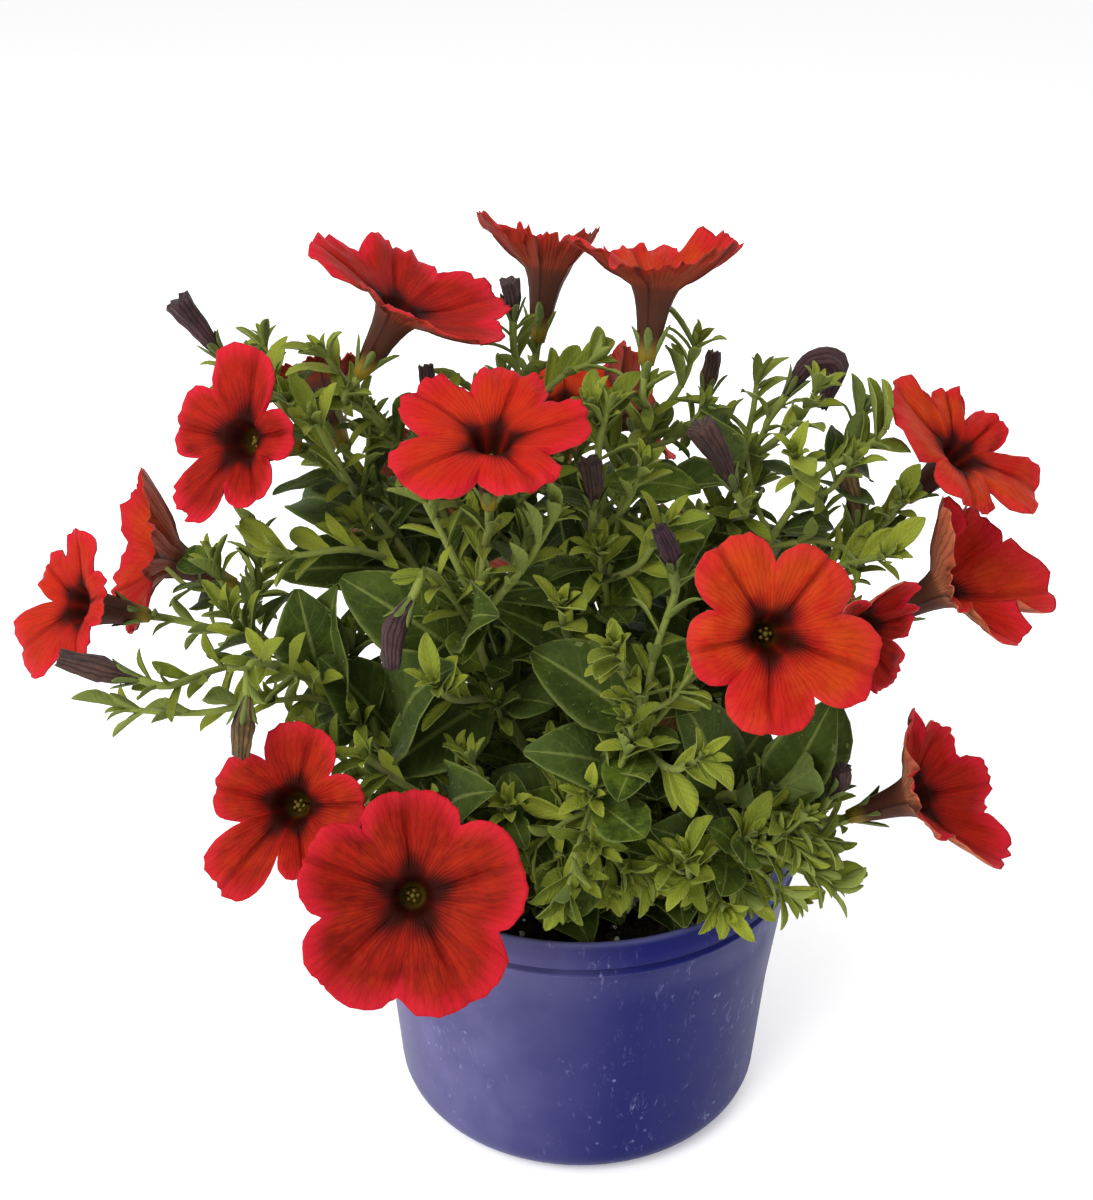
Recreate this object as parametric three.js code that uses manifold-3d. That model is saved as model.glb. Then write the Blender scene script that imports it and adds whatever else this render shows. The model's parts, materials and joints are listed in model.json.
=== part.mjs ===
// Potted petchoa: a squat flared pot of damp soil with a bushy flowering plant of many leafy stems.
// Millimetres, +Z up. The origin is the centre of the underside of the pot, and -Y is the front.
import * as THREE from 'three';
import { mergeVertices } from 'three/addons/utils/BufferGeometryUtils.js';
import Module from 'manifold-3d';

const wasm = await Module();
wasm.setup();

// Driving dimensions of the pot
const RIM_RADIUS = 65;
const LIP_RADIUS = 62.1;
const POT_HEIGHT = 91;
const GROOVE_HEIGHT = 83.4;
const WAIST_RADIUS = 58.6;
const WAIST_HEIGHT = 42;
const BASE_RADIUS = 56;
const BASE_CORNER = 9;
const FLOOR = 2.2;
const WALL = 1.7;
const POT_SIDES = 26;
const DRAIN_COUNT = 4;
const DRAIN_RADIUS = 3.6;
const DRAIN_CIRCLE = 34;

// Driving dimensions of the soil and of the holes that the stems stand in
const SOIL_TOP = 81;
const SOIL_WAVE = 1.1;
const ROOT_DEPTH = 20;
const CLEARANCE = 0.3;

// Driving dimensions of the plant
const FOOT_RADIUS = 2.0;
const TIP_RADIUS = 1.15;
const STEM_SIDES = 4;
const STALK_SIDES = 3;
const STALK_RADIUS = 0.8;
const STALK_END = 1.5;
const BLADE = 0.72;
const THROAT_RADIUS = 5.4;
const THROAT_DEPTH = 13;
const TUBE_LENGTH = 25;
const TUBE_END_RADIUS = 1.9;
const TUBE_MIDDLE = 14;
const TUBE_MIDDLE_RADIUS = 3.7;
const MIDDLE_SHARE = 0.45;
const NOTCH_REACH = 0.8;
const BEND_EASE = 6;
const THROAT_DROP = 3.2;
const SPENT_SIDES = 6;
const FURL_DEPTH = 0.72;
const BRANCH_ROOT = 0.45;
const SEAT_RADIUS = 2.25;
const SEPALS = 5;
const SEPAL_REACH = 8;
const SEPAL_SPREAD = 7;
const LEAF_GAP = 0.32;
const ROOT_ZONE = 4.4;
const TUFT_LEAVES = 3;
const GOLDEN_TURN = THREE.MathUtils.degToRad(137.5);

// Open blooms: throat is the mouth of the tube, face is where it looks (degrees from the front
// towards +X, degrees up), petals are the five lobes as [angle, length, bend] seen from in front,
// bent forward at their rims by that much, cup lifts the whole rim, saddle folds it along a line,
// ruffle waves the edge, and notch is how far out the gaps between the lobes lie.
const EVEN = [[90, 1], [18, 1], [-54, 1], [-126, 1], [162, 1]];
const BLOOMS = {
  bloom_01: { throat: [-43, -84, 122], face: [5, 34], radius: 28.5, cup: 0, saddle: [1, 0], ruffle: 0.9,
    petals: [[92, 0.93], [14, 1.0, 1], [-64, 1.06, -1], [-138, 1.08], [157, 1.0, 1]] },
  bloom_02: { throat: [-76, -62, 134], face: [-12, 30], radius: 22, cup: 1, saddle: [1.5, 60], ruffle: 1.0,
    notch: 0.66, petals: [[76, 1.0], [8, 0.94, -1], [-66, 0.84, 1], [-124, 1.26, -2], [172, 0.92]] },
  bloom_03: { throat: [-23, -45, 230], face: [8, 70], radius: 24.5, cup: -1, saddle: [0, 0], ruffle: 1.4,
    notch: 0.68, petals: [[66, 0.98], [6, 0.98, 1], [-66, 0.9, -1], [-152, 1.08, -3], [138, 0.98, 1]] },
  bloom_04: { throat: [43, -78, 192], face: [8, 26], radius: 23.6, cup: -1, saddle: [1.5, 120], ruffle: 1.0,
    notch: 0.74, petals: [[120, 1.06], [50, 0.96, 1], [-24, 1.12, -1], [-96, 1.0], [-172, 0.86, -2]] },
  bloom_05: { throat: [-46, 0, 249], face: [84, 58], radius: 27, cup: 0, saddle: [0, 0], ruffle: 1.2,
    petals: [[92, 1.04, -1], [25, 0.9, 2], [-48, 1.0, 8], [-118, 1.0, 6], [165, 0.7, 1]] },
  bloom_06: { throat: [-9, 44, 249], face: [150, 74], radius: 16, cup: 4, saddle: [0, 0], ruffle: 2.0,
    petals: [[100, 0.8], [36, 1.35, 3], [-36, 0.9], [-110, 0.85, 2], [172, 0.85, 3]] },
  bloom_07: { throat: [19, 6, 255], face: [150, 78], radius: 23.5, cup: 0, saddle: [0, 0], ruffle: 1.8,
    petals: [[100, 0.85], [30, 1.02, 5], [-44, 0.9, 2], [-118, 0.92, 9], [174, 0.92, 8]] },
  bloom_08: { throat: [-89, -25, 220], face: [-34, 22], radius: 21.5, cup: 0, saddle: [2, 90], ruffle: 1.2,
    notch: 0.62, petals: [[80, 1.12], [18, 0.84, -1], [-48, 0.86, 1], [-116, 1.12], [-178, 0.98]] },
  bloom_09: { throat: [-138, -20, 171], face: [-50, 26], radius: 21, cup: -1, saddle: [0, 0], ruffle: 1.2,
    notch: 0.66, petals: [[104, 0.96, 1], [28, 0.8], [-50, 0.8, -1], [-132, 1.34, -1], [164, 0.95, -1]] },
  bloom_10: { throat: [-123, 19, 168], face: [-78, 30], radius: 21.5, cup: 8, saddle: [0, 0], ruffle: 1.3,
    notch: 0.68, petals: [[88, 1.0, 5], [20, 0.9, -5], [-46, 1.16, -10], [-114, 1.12, -4], [160, 1.05, 1]] },
  bloom_11: { throat: [-78, 45, 211], face: [-150, 34], radius: 14, cup: 0, saddle: [1.5, 0], ruffle: 1.2,
    petals: EVEN },
  bloom_12: { throat: [17, 42, 205], face: [110, 20], radius: 19, cup: 0, saddle: [2, 90], ruffle: 1.2,
    petals: EVEN },
  bloom_13: { throat: [-4, 76, 195], face: [0, 70], radius: 19.5, cup: 1, saddle: [1.5, 30], ruffle: 1.0,
    petals: EVEN },
  bloom_14: { throat: [104, 4, 206], face: [48, 50], radius: 22.5, cup: -1, saddle: [0, 0], ruffle: 1.8,
    notch: 0.62, petals: [[114, 1.2, 1], [60, 0.9], [8, 0.92, 1], [-44, 1.26, -3], [-125, 0.85, -2]] },
  bloom_15: { throat: [104, -3, 170], face: [74, 38], radius: 21.5, cup: 0, saddle: [0, 0], ruffle: 1.5,
    notch: 0.6, petals: [[98, 1.08, 10], [46, 0.85, 11], [-52, 1.34, 16], [-110, 1.1, 5], [178, 0.7]] },
  bloom_16: { throat: [75, -30, 166], face: [30, 2], radius: 18.5, cup: 0, saddle: [0, 0], ruffle: 1.2,
    notch: 0.7, petals: [[76, 1.02, 8], [14, 0.82], [-58, 1.0, -1], [-128, 0.9, 2], [142, 1.05, 5]] },
  bloom_17: { throat: [92, -45, 128], face: [66, 34], radius: 22, cup: 6, saddle: [0, 0], ruffle: 1.6,
    notch: 0.74, petals: [[98, 1.04, 1], [34, 0.85, -1], [-32, 1.0, 1], [-96, 1.14, 3], [168, 0.9, -3]] },
  bloom_18: { throat: [-20, 108, 164], face: [178, 38], radius: 24, cup: 0, saddle: [1.5, 20], ruffle: 1.3,
    petals: EVEN },
  bloom_19: { throat: [-62, 92, 158], face: [-140, 30], radius: 25, cup: -1, saddle: [2, 90], ruffle: 1.2,
    petals: [[86, 1.0], [14, 1.04], [-58, 0.95], [-130, 1.06], [160, 0.96]] },
  bloom_20: { throat: [72, 72, 134], face: [130, 22], radius: 22, cup: 0, saddle: [2, 0], ruffle: 1.4,
    petals: EVEN },
  bloom_21: { throat: [-42, 108, 130], face: [-166, 22], radius: 26, cup: -1, saddle: [1.5, 60], ruffle: 1.1,
    petals: [[94, 1.02], [22, 0.96], [-50, 1.0], [-128, 1.02], [164, 0.98]] },
  bloom_22: { throat: [34, 106, 126], face: [160, 25], radius: 22, cup: 1, saddle: [2, 100], ruffle: 1.5,
    petals: EVEN },
};

// Spent blooms and buds: furled tubes along a short path, each with its radius at every point
const SPENT = {
  spent_01: { path: [[-94, -3, 234], [-99, -4, 242], [-104, -5, 250]], radii: [1.3, 2.4, 3.3] },
  spent_02: { path: [[56, 16, 217], [62, 17, 226], [69, 18, 225], [66, 16, 213]],
    radii: [1.3, 3.0, 3.6, 1.2] },
  spent_03: { path: [[40, -10, 200], [36, -11, 209], [30, -12, 219]], radii: [1.4, 2.6, 3.8] },
  spent_04: { path: [[-115, -45, 162], [-124, -46, 165], [-134, -47, 169]], radii: [1.3, 3.2, 2.2] },
  spent_05: { path: [[-85, -56, 163], [-86, -59, 156], [-87, -60, 148]], radii: [1.3, 2.8, 2.0] },
  spent_06: { path: [[-44, -44, 184], [-48, -48, 178], [-49, -50, 168]], radii: [1.3, 2.9, 2.0] },
  spent_07: { path: [[75, -2, 186], [74, -2, 193], [71, -1, 201]], radii: [1.2, 1.8, 3.0] },
  spent_08: { path: [[22, -38, 190], [21, -40, 196], [18, -42, 203]], radii: [1.3, 2.6, 1.8] },
  spent_09: { path: [[2, -24, 201], [2, -26, 208], [1, -27, 215]], radii: [1.2, 2.3, 2.8] },
  spent_10: { path: [[-19, 22, 237], [-19, 21, 242], [-20, 20, 248]], radii: [1.2, 2.0, 2.6] },
  spent_11: { path: [[-42, 27, 208], [-43, 28, 214], [-44, 30, 221]], radii: [1.2, 2.2, 2.0] },
  spent_12: { path: [[35, 28, 212], [36, 29, 218], [37, 30, 225]], radii: [1.2, 2.4, 1.8] },
  spent_13: { path: [[13, -52, 101], [12, -50, 97], [9, -50, 92]], radii: [1.3, 3.0, 2.2] },
  spent_14: { path: [[65, -50, 130], [67, -51, 134], [67, -51, 139]], radii: [1.2, 2.0, 2.4] },
};

// Leafy stems: foot is where each leaves the soil, path is its run above the soil, sides are its
// short side shoots as [place on the stem, path], blooms and spent name what it carries with the
// place on the stem where the stalk begins, and wide lists its largest leaves as
// [place on the stem, tip, width]. leaves is how many more leaves stand along it by rule.
const STEMS = {
  stem_front_left: { foot: [-16, -15], path: [[-24, -27, 102], [-38, -36, 117], [-54, -40, 126]], leaves: 2,
    sides: [[0.62, [[-47, -46, 130], [-56, -52, 142]]], [0.9, [[-60, -42, 132], [-70, -44, 145]]]],
    blooms: [['bloom_01', 0.6], ['bloom_02', 0.82]], spent: [],
    wide: [[0.45, [-60, -46, 160], 21], [0.5, [-60, -22, 112], 17], [0.7, [-36, -66, 142], 14]] },
  stem_left_low: { foot: [-21, -4], leaves: 3,
    path: [[-34, -12, 104], [-52, -20, 130], [-69, -22, 146], [-88, -12, 156], [-99, -1, 164],
      [-104, 2, 178]],
    sides: [[0.62, [[-85, -36, 151], [-101, -42, 150], [-121, -40, 150]]],
      [0.5, [[-72, -34, 150], [-80, -46, 156]]], [0.78, [[-90, -4, 168], [-90, 0, 180]]]],
    blooms: [['bloom_10', 0.74], ['bloom_09', 0.66]], spent: [['spent_04', 0.64], ['spent_05', 0.56]],
    wide: [[0.5, [-71, -28, 176], 14], [0.4, [-44, -52, 168], 20], [0.45, [-84, -10, 132], 18],
      [0.3, [-62, 4, 118], 18]] },
  stem_left_high: { foot: [-12, 4], leaves: 4,
    path: [[-20, 6, 110], [-36, 4, 150], [-52, 5, 178], [-67, 8, 197], [-79, 12, 213], [-89, 8, 226]],
    sides: [[0.66, [[-64, -8, 204], [-69, -18, 222]]], [0.5, [[-60, -14, 184], [-78, -25, 187]]],
      [0.82, [[-84, 22, 212], [-94, 30, 220]]]],
    blooms: [['bloom_08', 0.72]], spent: [['spent_01', 0.95]],
    wide: [[0.45, [-74, -6, 176], 19], [0.38, [-68, 22, 168], 19], [0.6, [-84, 30, 184], 15]] },
  stem_left_top: { foot: [-9, 13], leaves: 3,
    path: [[-16, 14, 112], [-31, 15, 160], [-44, 14, 193], [-55, 10, 211]],
    sides: [[0.9, [[-62, 6, 222], [-68, 2, 233]]],
      [0.62, [[-30, 2, 184], [-38, -8, 202]]]],
    blooms: [['bloom_05', 0.95], ['bloom_11', 0.72]], spent: [['spent_11', 0.78]],
    wide: [[0.5, [-60, 34, 184], 18], [0.42, [-14, -2, 176], 18]] },
  stem_middle_top: { foot: [-2, 20], leaves: 3,
    path: [[-3, 20, 116], [-13, 19, 165], [-20, 20, 195], [-16, 24, 213]],
    sides: [[0.75, [[-26, 32, 200], [-30, 42, 208]]], [0.95, [[-6, 22, 220], [2, 22, 224]]]],
    blooms: [['bloom_06', 0.92]], spent: [['spent_10', 0.9]],
    wide: [[0.6, [-38, 36, 196], 16], [0.5, [12, 34, 172], 18], [0.42, [-38, 36, 158], 18]] },
  stem_middle_right: { foot: [6, 11], leaves: 3,
    path: [[6, 11, 116], [8, 9, 160], [13, 10, 195], [20, 11, 213]],
    sides: [[0.95, [[27, 12, 222], [30, 12, 232]]], [0.8, [[6, 2, 208], [2, -4, 220]]]],
    blooms: [['bloom_07', 0.9]], spent: [['spent_12', 0.88]],
    wide: [[0.7, [38, -6, 206], 12], [0.55, [-6, 28, 194], 15], [0.45, [32, 20, 158], 18]] },
  stem_right_top: { foot: [15, 6], leaves: 3,
    path: [[20, 7, 116], [30, 10, 155], [40, 13, 184], [49, 15, 203]],
    sides: [[0.85, [[48, 26, 206], [50, 34, 214]]], [0.95, [[58, 8, 212], [62, 4, 222]]]],
    blooms: [], spent: [['spent_02', 0.95], ['spent_03', 0.72]],
    wide: [[0.85, [36, 4, 219], 10], [0.5, [58, 30, 172], 18], [0.6, [30, -16, 188], 16]] },
  stem_right_high: { foot: [22, -2], leaves: 3,
    path: [[28, -2, 112], [38, -1, 150], [49, 0, 175], [62, 1, 197], [73, 0, 207]],
    sides: [[0.8, [[56, -12, 204], [54, -20, 213]]], [0.97, [[76, -2, 209], [80, -3, 214]]]],
    blooms: [], spent: [['spent_07', 0.68]],
    wide: [[0.5, [58, -22, 176], 15], [0.4, [66, 16, 168], 17]] },
  stem_right_mid: { foot: [25, -12], leaves: 3,
    path: [[33, -12, 106], [44, -7, 138], [56, 3, 160], [70, 8, 172], [80, 12, 180]],
    sides: [[0.75, [[72, -6, 176], [80, -14, 182]]], [0.9, [[84, 4, 184], [86, -4, 194]]]],
    blooms: [['bloom_15', 0.66], ['bloom_16', 0.54], ['bloom_14', 0.95]], spent: [],
    wide: [[0.45, [44, -36, 168], 17], [0.55, [76, 14, 148], 14]] },
  stem_right_low: { foot: [15, -21], leaves: 3,
    path: [[24, -31, 106], [38, -41, 124], [51, -43, 121], [60, -38, 115]],
    sides: [[0.6, [[52, -54, 124], [60, -58, 120]]]],
    blooms: [['bloom_17', 0.85]], spent: [['spent_14', 0.7]],
    wide: [[0.75, [69, -40, 149], 17], [0.55, [30, -52, 156], 16], [0.8, [70, -50, 103], 9],
      [0.45, [52, -22, 134], 18]] },
  stem_front_right: { foot: [7, -14], leaves: 3,
    path: [[11, -27, 106], [15, -41, 130], [15, -50, 150], [12, -56, 166]],
    sides: [[0.95, [[9, -58, 172], [7, -64, 180]]], [0.7, [[22, -60, 144], [28, -68, 152]]]],
    blooms: [['bloom_04', 0.75]], spent: [['spent_08', 0.85]],
    wide: [[0.6, [-8, -66, 154], 14], [0.5, [40, -48, 128], 19], [0.8, [-12, -48, 172], 15]] },
  stem_front_middle: { foot: [-2, -22], leaves: 2,
    path: [[-2, -32, 102], [0, -44, 118], [2, -56, 131], [1, -64, 139]],
    sides: [[0.5, [[12, -50, 112], [17, -58, 108]]]],
    blooms: [], spent: [['spent_13', 0.4]],
    wide: [[0.6, [-12, -62, 100], 18], [0.5, [-22, -40, 130], 13]] },
  stem_front_high: { foot: [-9, -6], leaves: 3,
    path: [[-12, -12, 110], [-21, -23, 140], [-28, -29, 165], [-27, -31, 184]],
    sides: [[0.62, [[-34, -42, 154], [-38, -52, 164]]], [0.9, [[-36, -26, 192], [-42, -24, 204]]],
      [0.85, [[-16, -34, 188], [-8, -34, 202]]]],
    blooms: [['bloom_03', 0.97]], spent: [['spent_06', 0.8]],
    wide: [[0.6, [-46, -64, 152], 22], [0.8, [-30, -58, 190], 13], [0.7, [-60, -34, 184], 16]] },
  stem_front_low: { foot: [-10, -28], leaves: 3,
    path: [[-14, -38, 104], [-18, -50, 120], [-20, -60, 133]],
    sides: [[0.55, [[-6, -56, 112], [-2, -66, 116]]]],
    blooms: [], spent: [], wide: [[0.6, [-34, -58, 118], 12]] },
  stem_middle: { foot: [3, -4], leaves: 4,
    path: [[5, -8, 112], [8, -14, 150], [5, -17, 182], [3, -12, 204]],
    sides: [[0.75, [[14, -28, 186], [20, -34, 200]]], [0.6, [[-4, -34, 168], [-6, -44, 182]]],
      [0.97, [[4, -8, 212], [6, -6, 220]]]],
    blooms: [], spent: [['spent_09', 0.85]],
    wide: [[0.7, [28, -28, 199], 13], [0.55, [-22, -34, 178], 16], [0.5, [32, -30, 162], 17]] },
  stem_right_front: { foot: [23, -25], leaves: 3,
    path: [[30, -38, 102], [37, -53, 114], [44, -62, 126]],
    sides: [[0.6, [[28, -62, 112], [26, -68, 122]]], [0.75, [[56, -58, 112], [64, -60, 108]]]],
    blooms: [], spent: [], wide: [[0.55, [18, -64, 128], 12]] },
  stem_back_middle: { foot: [5, 27], leaves: 4,
    path: [[4, 36, 110], [0, 48, 140], [-5, 60, 160], [-12, 70, 174]],
    sides: [[0.72, [[12, 68, 164], [20, 76, 176]]]],
    blooms: [['bloom_18', 0.8], ['bloom_13', 0.8], ['bloom_12', 0.62]], spent: [],
    wide: [[0.5, [-32, 62, 158], 19], [0.55, [28, 58, 156], 18], [0.7, [6, 88, 172], 15]] },
  stem_back_left: { foot: [-17, 17], leaves: 3,
    path: [[-28, 30, 112], [-42, 46, 138], [-52, 56, 155], [-60, 62, 168]],
    sides: [[0.7, [[-34, 66, 160], [-30, 74, 172]]], [0.92, [[-70, 58, 174], [-78, 56, 184]]]],
    blooms: [['bloom_19', 0.8]], spent: [],
    wide: [[0.45, [-30, 62, 142], 19], [0.5, [-76, 28, 136], 18], [0.7, [-48, 60, 186], 15]] },
  stem_back_right: { foot: [18, 17], leaves: 3,
    path: [[30, 28, 108], [41, 40, 126], [49, 50, 139], [55, 56, 148]],
    sides: [[0.7, [[62, 38, 138], [76, 34, 144]]], [0.85, [[44, 64, 146], [40, 74, 154]]]],
    blooms: [['bloom_20', 0.62]], spent: [],
    wide: [[0.5, [70, 24, 134], 19], [0.55, [24, 62, 146], 18], [0.8, [62, 72, 162], 15]] },
  stem_back_low_left: { foot: [-7, 32], leaves: 3,
    path: [[-12, 44, 100], [-22, 62, 112], [-32, 80, 118]],
    sides: [[0.6, [[-42, 62, 112], [-58, 70, 116]]], [0.8, [[-14, 80, 122], [-8, 88, 132]]]],
    blooms: [['bloom_21', 0.9]], spent: [], wide: [[0.6, [-52, 54, 126], 18], [0.7, [-38, 96, 106], 14]] },
  stem_back_low_right: { foot: [17, 29], leaves: 3,
    path: [[22, 44, 99], [27, 58, 109], [30, 70, 114]],
    sides: [[0.6, [[44, 60, 112], [58, 64, 118]]], [0.8, [[16, 76, 118], [6, 84, 128]]]],
    blooms: [['bloom_22', 0.9]], spent: [], wide: [[0.55, [58, 46, 104], 18], [0.7, [44, 90, 106], 14]] },
};

const vec = (point) => new THREE.Vector3(...point);

// Even draws from 0 to 1 for a seed, the same on every run
function draws(seed) {
  let state = (seed * 2654435 + 977) >>> 0;
  const next = () => {
    state = (Math.imul(state, 1664525) + 1013904223) >>> 0;
    return state / 4294967296;
  };
  next();
  next();
  return next;
}

// A closed geometry as a solid, its faces turned outwards
function solid(geometry) {
  const bare = geometry.clone();
  bare.deleteAttribute('normal');
  bare.deleteAttribute('uv');
  const merged = mergeVertices(bare, 1e-4);
  const place = merged.attributes.position;
  const corner = [new THREE.Vector3(), new THREE.Vector3(), new THREE.Vector3()];
  const faces = [];
  let volume = 0;
  for (let i = 0; i < merged.index.count; i += 3) {
    const face = [0, 1, 2].map((k) => merged.index.getX(i + k));
    if (new Set(face).size < 3) continue;
    face.forEach((index, k) => corner[k].fromBufferAttribute(place, index));
    volume += corner[0].dot(corner[1].clone().cross(corner[2]));
    faces.push(face);
  }
  if (volume < 0) faces.forEach((face) => face.reverse());
  const triVerts = new Uint32Array(faces.flat());
  return new wasm.Manifold(new wasm.Mesh({ numProp: 3, vertProperties: place.array, triVerts }));
}

// A geometry from points and triangles given as indices
function pointsGeometry(points, faces) {
  const geometry = new THREE.BufferGeometry();
  geometry.setAttribute('position', new THREE.Float32BufferAttribute(points.flatMap((p) => p.toArray()), 3));
  geometry.setIndex(faces.flat());
  return geometry;
}

// A closed skin over a row of rings; the first and last rings are capped from their first point.
// A ring of twice as many points as its neighbour joins it two points to one.
function loft(rings) {
  const points = rings.flat();
  const faces = [];
  let start = 0;
  for (let r = 0; r + 1 < rings.length; r += 1) {
    const a = rings[r].length;
    const b = rings[r + 1].length;
    const most = Math.max(a, b);
    for (let i = 0; i < most; i += 1) {
      const a0 = start + Math.floor((i * a) / most);
      const a1 = start + Math.floor(((i + 1) * a) / most) % a;
      const b0 = start + a + Math.floor((i * b) / most);
      const b1 = start + a + Math.floor(((i + 1) * b) / most) % b;
      if (a0 !== a1) faces.push([a0, a1, b1]);
      if (b0 !== b1) faces.push([a0, b1, b0]);
    }
    start += a;
  }
  for (let i = 1; i + 1 < rings[0].length; i += 1) faces.push([0, i + 1, i]);
  for (let i = 1; i + 1 < rings.at(-1).length; i += 1) faces.push([start, start + i, start + i + 1]);
  return solid(pointsGeometry(points, faces));
}

// A run of straight pieces, even in number along the smooth curve through the points
function runThrough(points, steps) {
  return new THREE.CatmullRomCurve3(points, false, 'catmullrom', 0.5).getPoints(steps);
}

function pointOn(run, t) {
  const place = t * (run.length - 1);
  const first = Math.min(Math.floor(place), run.length - 2);
  return run[first].clone().lerp(run[first + 1], place - first);
}

function headingOn(run, t) {
  const first = Math.min(Math.floor(t * (run.length - 1)), run.length - 2);
  return run[first + 1].clone().sub(run[first]).normalize();
}

// A direction square to another one, as near as it can be to the wish
function squareTo(direction, wish) {
  return wish.clone().addScaledVector(direction, -wish.dot(direction)).normalize();
}

// A level direction across a heading, or +X where the heading is upright
function acrossOf(along) {
  return Math.hypot(along.x, along.y) > 0.05
    ? new THREE.Vector3(-along.y, along.x, 0).normalize()
    : new THREE.Vector3(1, 0, 0);
}

// The rings of a tapered stalk with flat sides along a run; a branch starts narrow inside its stem
function stalkRings(run, startRadius, endRadius, sides, isBranch) {
  const last = run.length - 1;
  const chord = run[last].clone().sub(run[0]).normalize();
  const first = acrossOf(chord);
  return run.map((centre, i) => {
    const along = run[Math.min(i + 1, last)].clone().sub(run[Math.max(i - 1, 0)]).normalize();
    const across = squareTo(along, first);
    const radius = isBranch && i === 0 ? BRANCH_ROOT : THREE.MathUtils.lerp(startRadius, endRadius, i / last);
    return ringAround(centre, across, along.clone().cross(across), sides, () => radius);
  });
}

function ringAround(centre, across, third, count, radiusAt) {
  const ring = [];
  for (let i = 0; i < count; i += 1) {
    const turn = (2 * Math.PI * i) / count;
    const radius = radiusAt(turn, i);
    const point = centre.clone().addScaledVector(across, radius * Math.cos(turn));
    ring.push(point.addScaledVector(third, radius * Math.sin(turn)));
  }
  return ring;
}

// The pot: a flat underside, a rounded corner, a flaring side, a groove, a leaning band and a lip,
// as a profile of [radius, height] that comes back down inside
function makePot() {
  const flat = BASE_RADIUS - BASE_CORNER;
  const profile = [
    [0, 0],
    [flat, 0],
    [flat + BASE_CORNER * Math.SQRT1_2, BASE_CORNER * (1 - Math.SQRT1_2)],
    [BASE_RADIUS, BASE_CORNER],
    [WAIST_RADIUS, WAIST_HEIGHT],
    [RIM_RADIUS - WALL, GROOVE_HEIGHT - 2 * WALL],
    [RIM_RADIUS, GROOVE_HEIGHT - WALL],
    [RIM_RADIUS - 1.2, GROOVE_HEIGHT - WALL / 3],
    [RIM_RADIUS, GROOVE_HEIGHT + WALL / 2],
    [LIP_RADIUS + WALL / 2, POT_HEIGHT - WALL / 2],
    [LIP_RADIUS, POT_HEIGHT],
    [LIP_RADIUS - WALL / 2, POT_HEIGHT - WALL / 2],
    [LIP_RADIUS - WALL / 4, GROOVE_HEIGHT - WALL],
    [WAIST_RADIUS - WALL, WAIST_HEIGHT],
    [BASE_RADIUS - WALL, BASE_CORNER],
    [flat, FLOOR],
    [0, FLOOR],
  ];
  let pot = solid(new THREE.LatheGeometry(profile.map(([x, y]) => new THREE.Vector2(x, y)), POT_SIDES)
    .rotateX(Math.PI / 2));
  for (let i = 0; i < DRAIN_COUNT; i += 1) {
    const turn = (2 * Math.PI * i) / DRAIN_COUNT;
    const hole = new THREE.CylinderGeometry(DRAIN_RADIUS, DRAIN_RADIUS, 4 * FLOOR, 6).rotateX(Math.PI / 2);
    hole.translate(DRAIN_CIRCLE * Math.cos(turn), DRAIN_CIRCLE * Math.sin(turn), 0);
    pot = pot.subtract(solid(hole));
  }
  return pot;
}

// The soil: it fills the pot to an uneven top, with a plain hole for the foot of each stem
function makeSoil() {
  const ring = (radius, height, wave) => ringAround(
    new THREE.Vector3(0, 0, height), new THREE.Vector3(1, 0, 0), new THREE.Vector3(0, 1, 0), 16, () => radius,
  ).map((p) => p.setZ(height + wave * (Math.sin(p.x / 9) * Math.cos(p.y / 7 + 1) + 0.4 * Math.sin(p.y / 4))));
  const rings = [[new THREE.Vector3(0, 0, FLOOR + CLEARANCE)]];
  rings.push(ring(BASE_RADIUS - BASE_CORNER - 1, FLOOR + CLEARANCE, 0));
  rings.push(ring(BASE_RADIUS - WALL - 1.2, BASE_CORNER + 1, 0));
  rings.push(ring(WAIST_RADIUS - WALL - 1, WAIST_HEIGHT, 0));
  rings.push(ring(LIP_RADIUS - 2.1, SOIL_TOP - 1.5, 0));
  rings.push(ring(0.75 * LIP_RADIUS, SOIL_TOP, SOIL_WAVE), ring(0.4 * LIP_RADIUS, SOIL_TOP + 0.6, SOIL_WAVE));
  rings.push([new THREE.Vector3(0, 0, SOIL_TOP + 0.6)]);
  let soil = loft(rings);
  for (const stem of Object.values(STEMS)) {
    const run = stemRun(stem);
    const across = acrossOf(run.at(-1).clone().sub(run[0]).normalize());
    const third = new THREE.Vector3(0, 0, 1).cross(across);
    const ends = [-CLEARANCE, 2 * ROOT_DEPTH].map((height) => {
      const centre = run[0].clone().add(new THREE.Vector3(0, 0, height));
      return ringAround(centre, across, third, STEM_SIDES, () => FOOT_RADIUS + 1.5 * CLEARANCE);
    });
    soil = soil.subtract(loft(ends));
  }
  return soil;
}

// The frame of a bloom: where it looks, and the two directions across its face
function bloomFrame({ throat, face }) {
  const [turn, rise] = face.map(THREE.MathUtils.degToRad);
  const out = new THREE.Vector3().setFromSphericalCoords(1, Math.PI / 2 - rise, turn);
  out.set(out.x, -out.z, out.y);
  const across = new THREE.Vector3(0, 0, 1).cross(out).normalize();
  return { out, across, up: out.clone().cross(across), throat: vec(throat) };
}

// How far the rim is bent forward at a turn: each petal's own bend, eased into its neighbours'
function petalBend(petals, turn) {
  let total = 0;
  let weights = 0;
  for (const [angle, , bend = 0] of petals) {
    const weight = Math.exp(BEND_EASE * Math.cos(turn - THREE.MathUtils.degToRad(angle)));
    total += weight * bend;
    weights += weight;
  }
  return total / weights;
}

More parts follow.
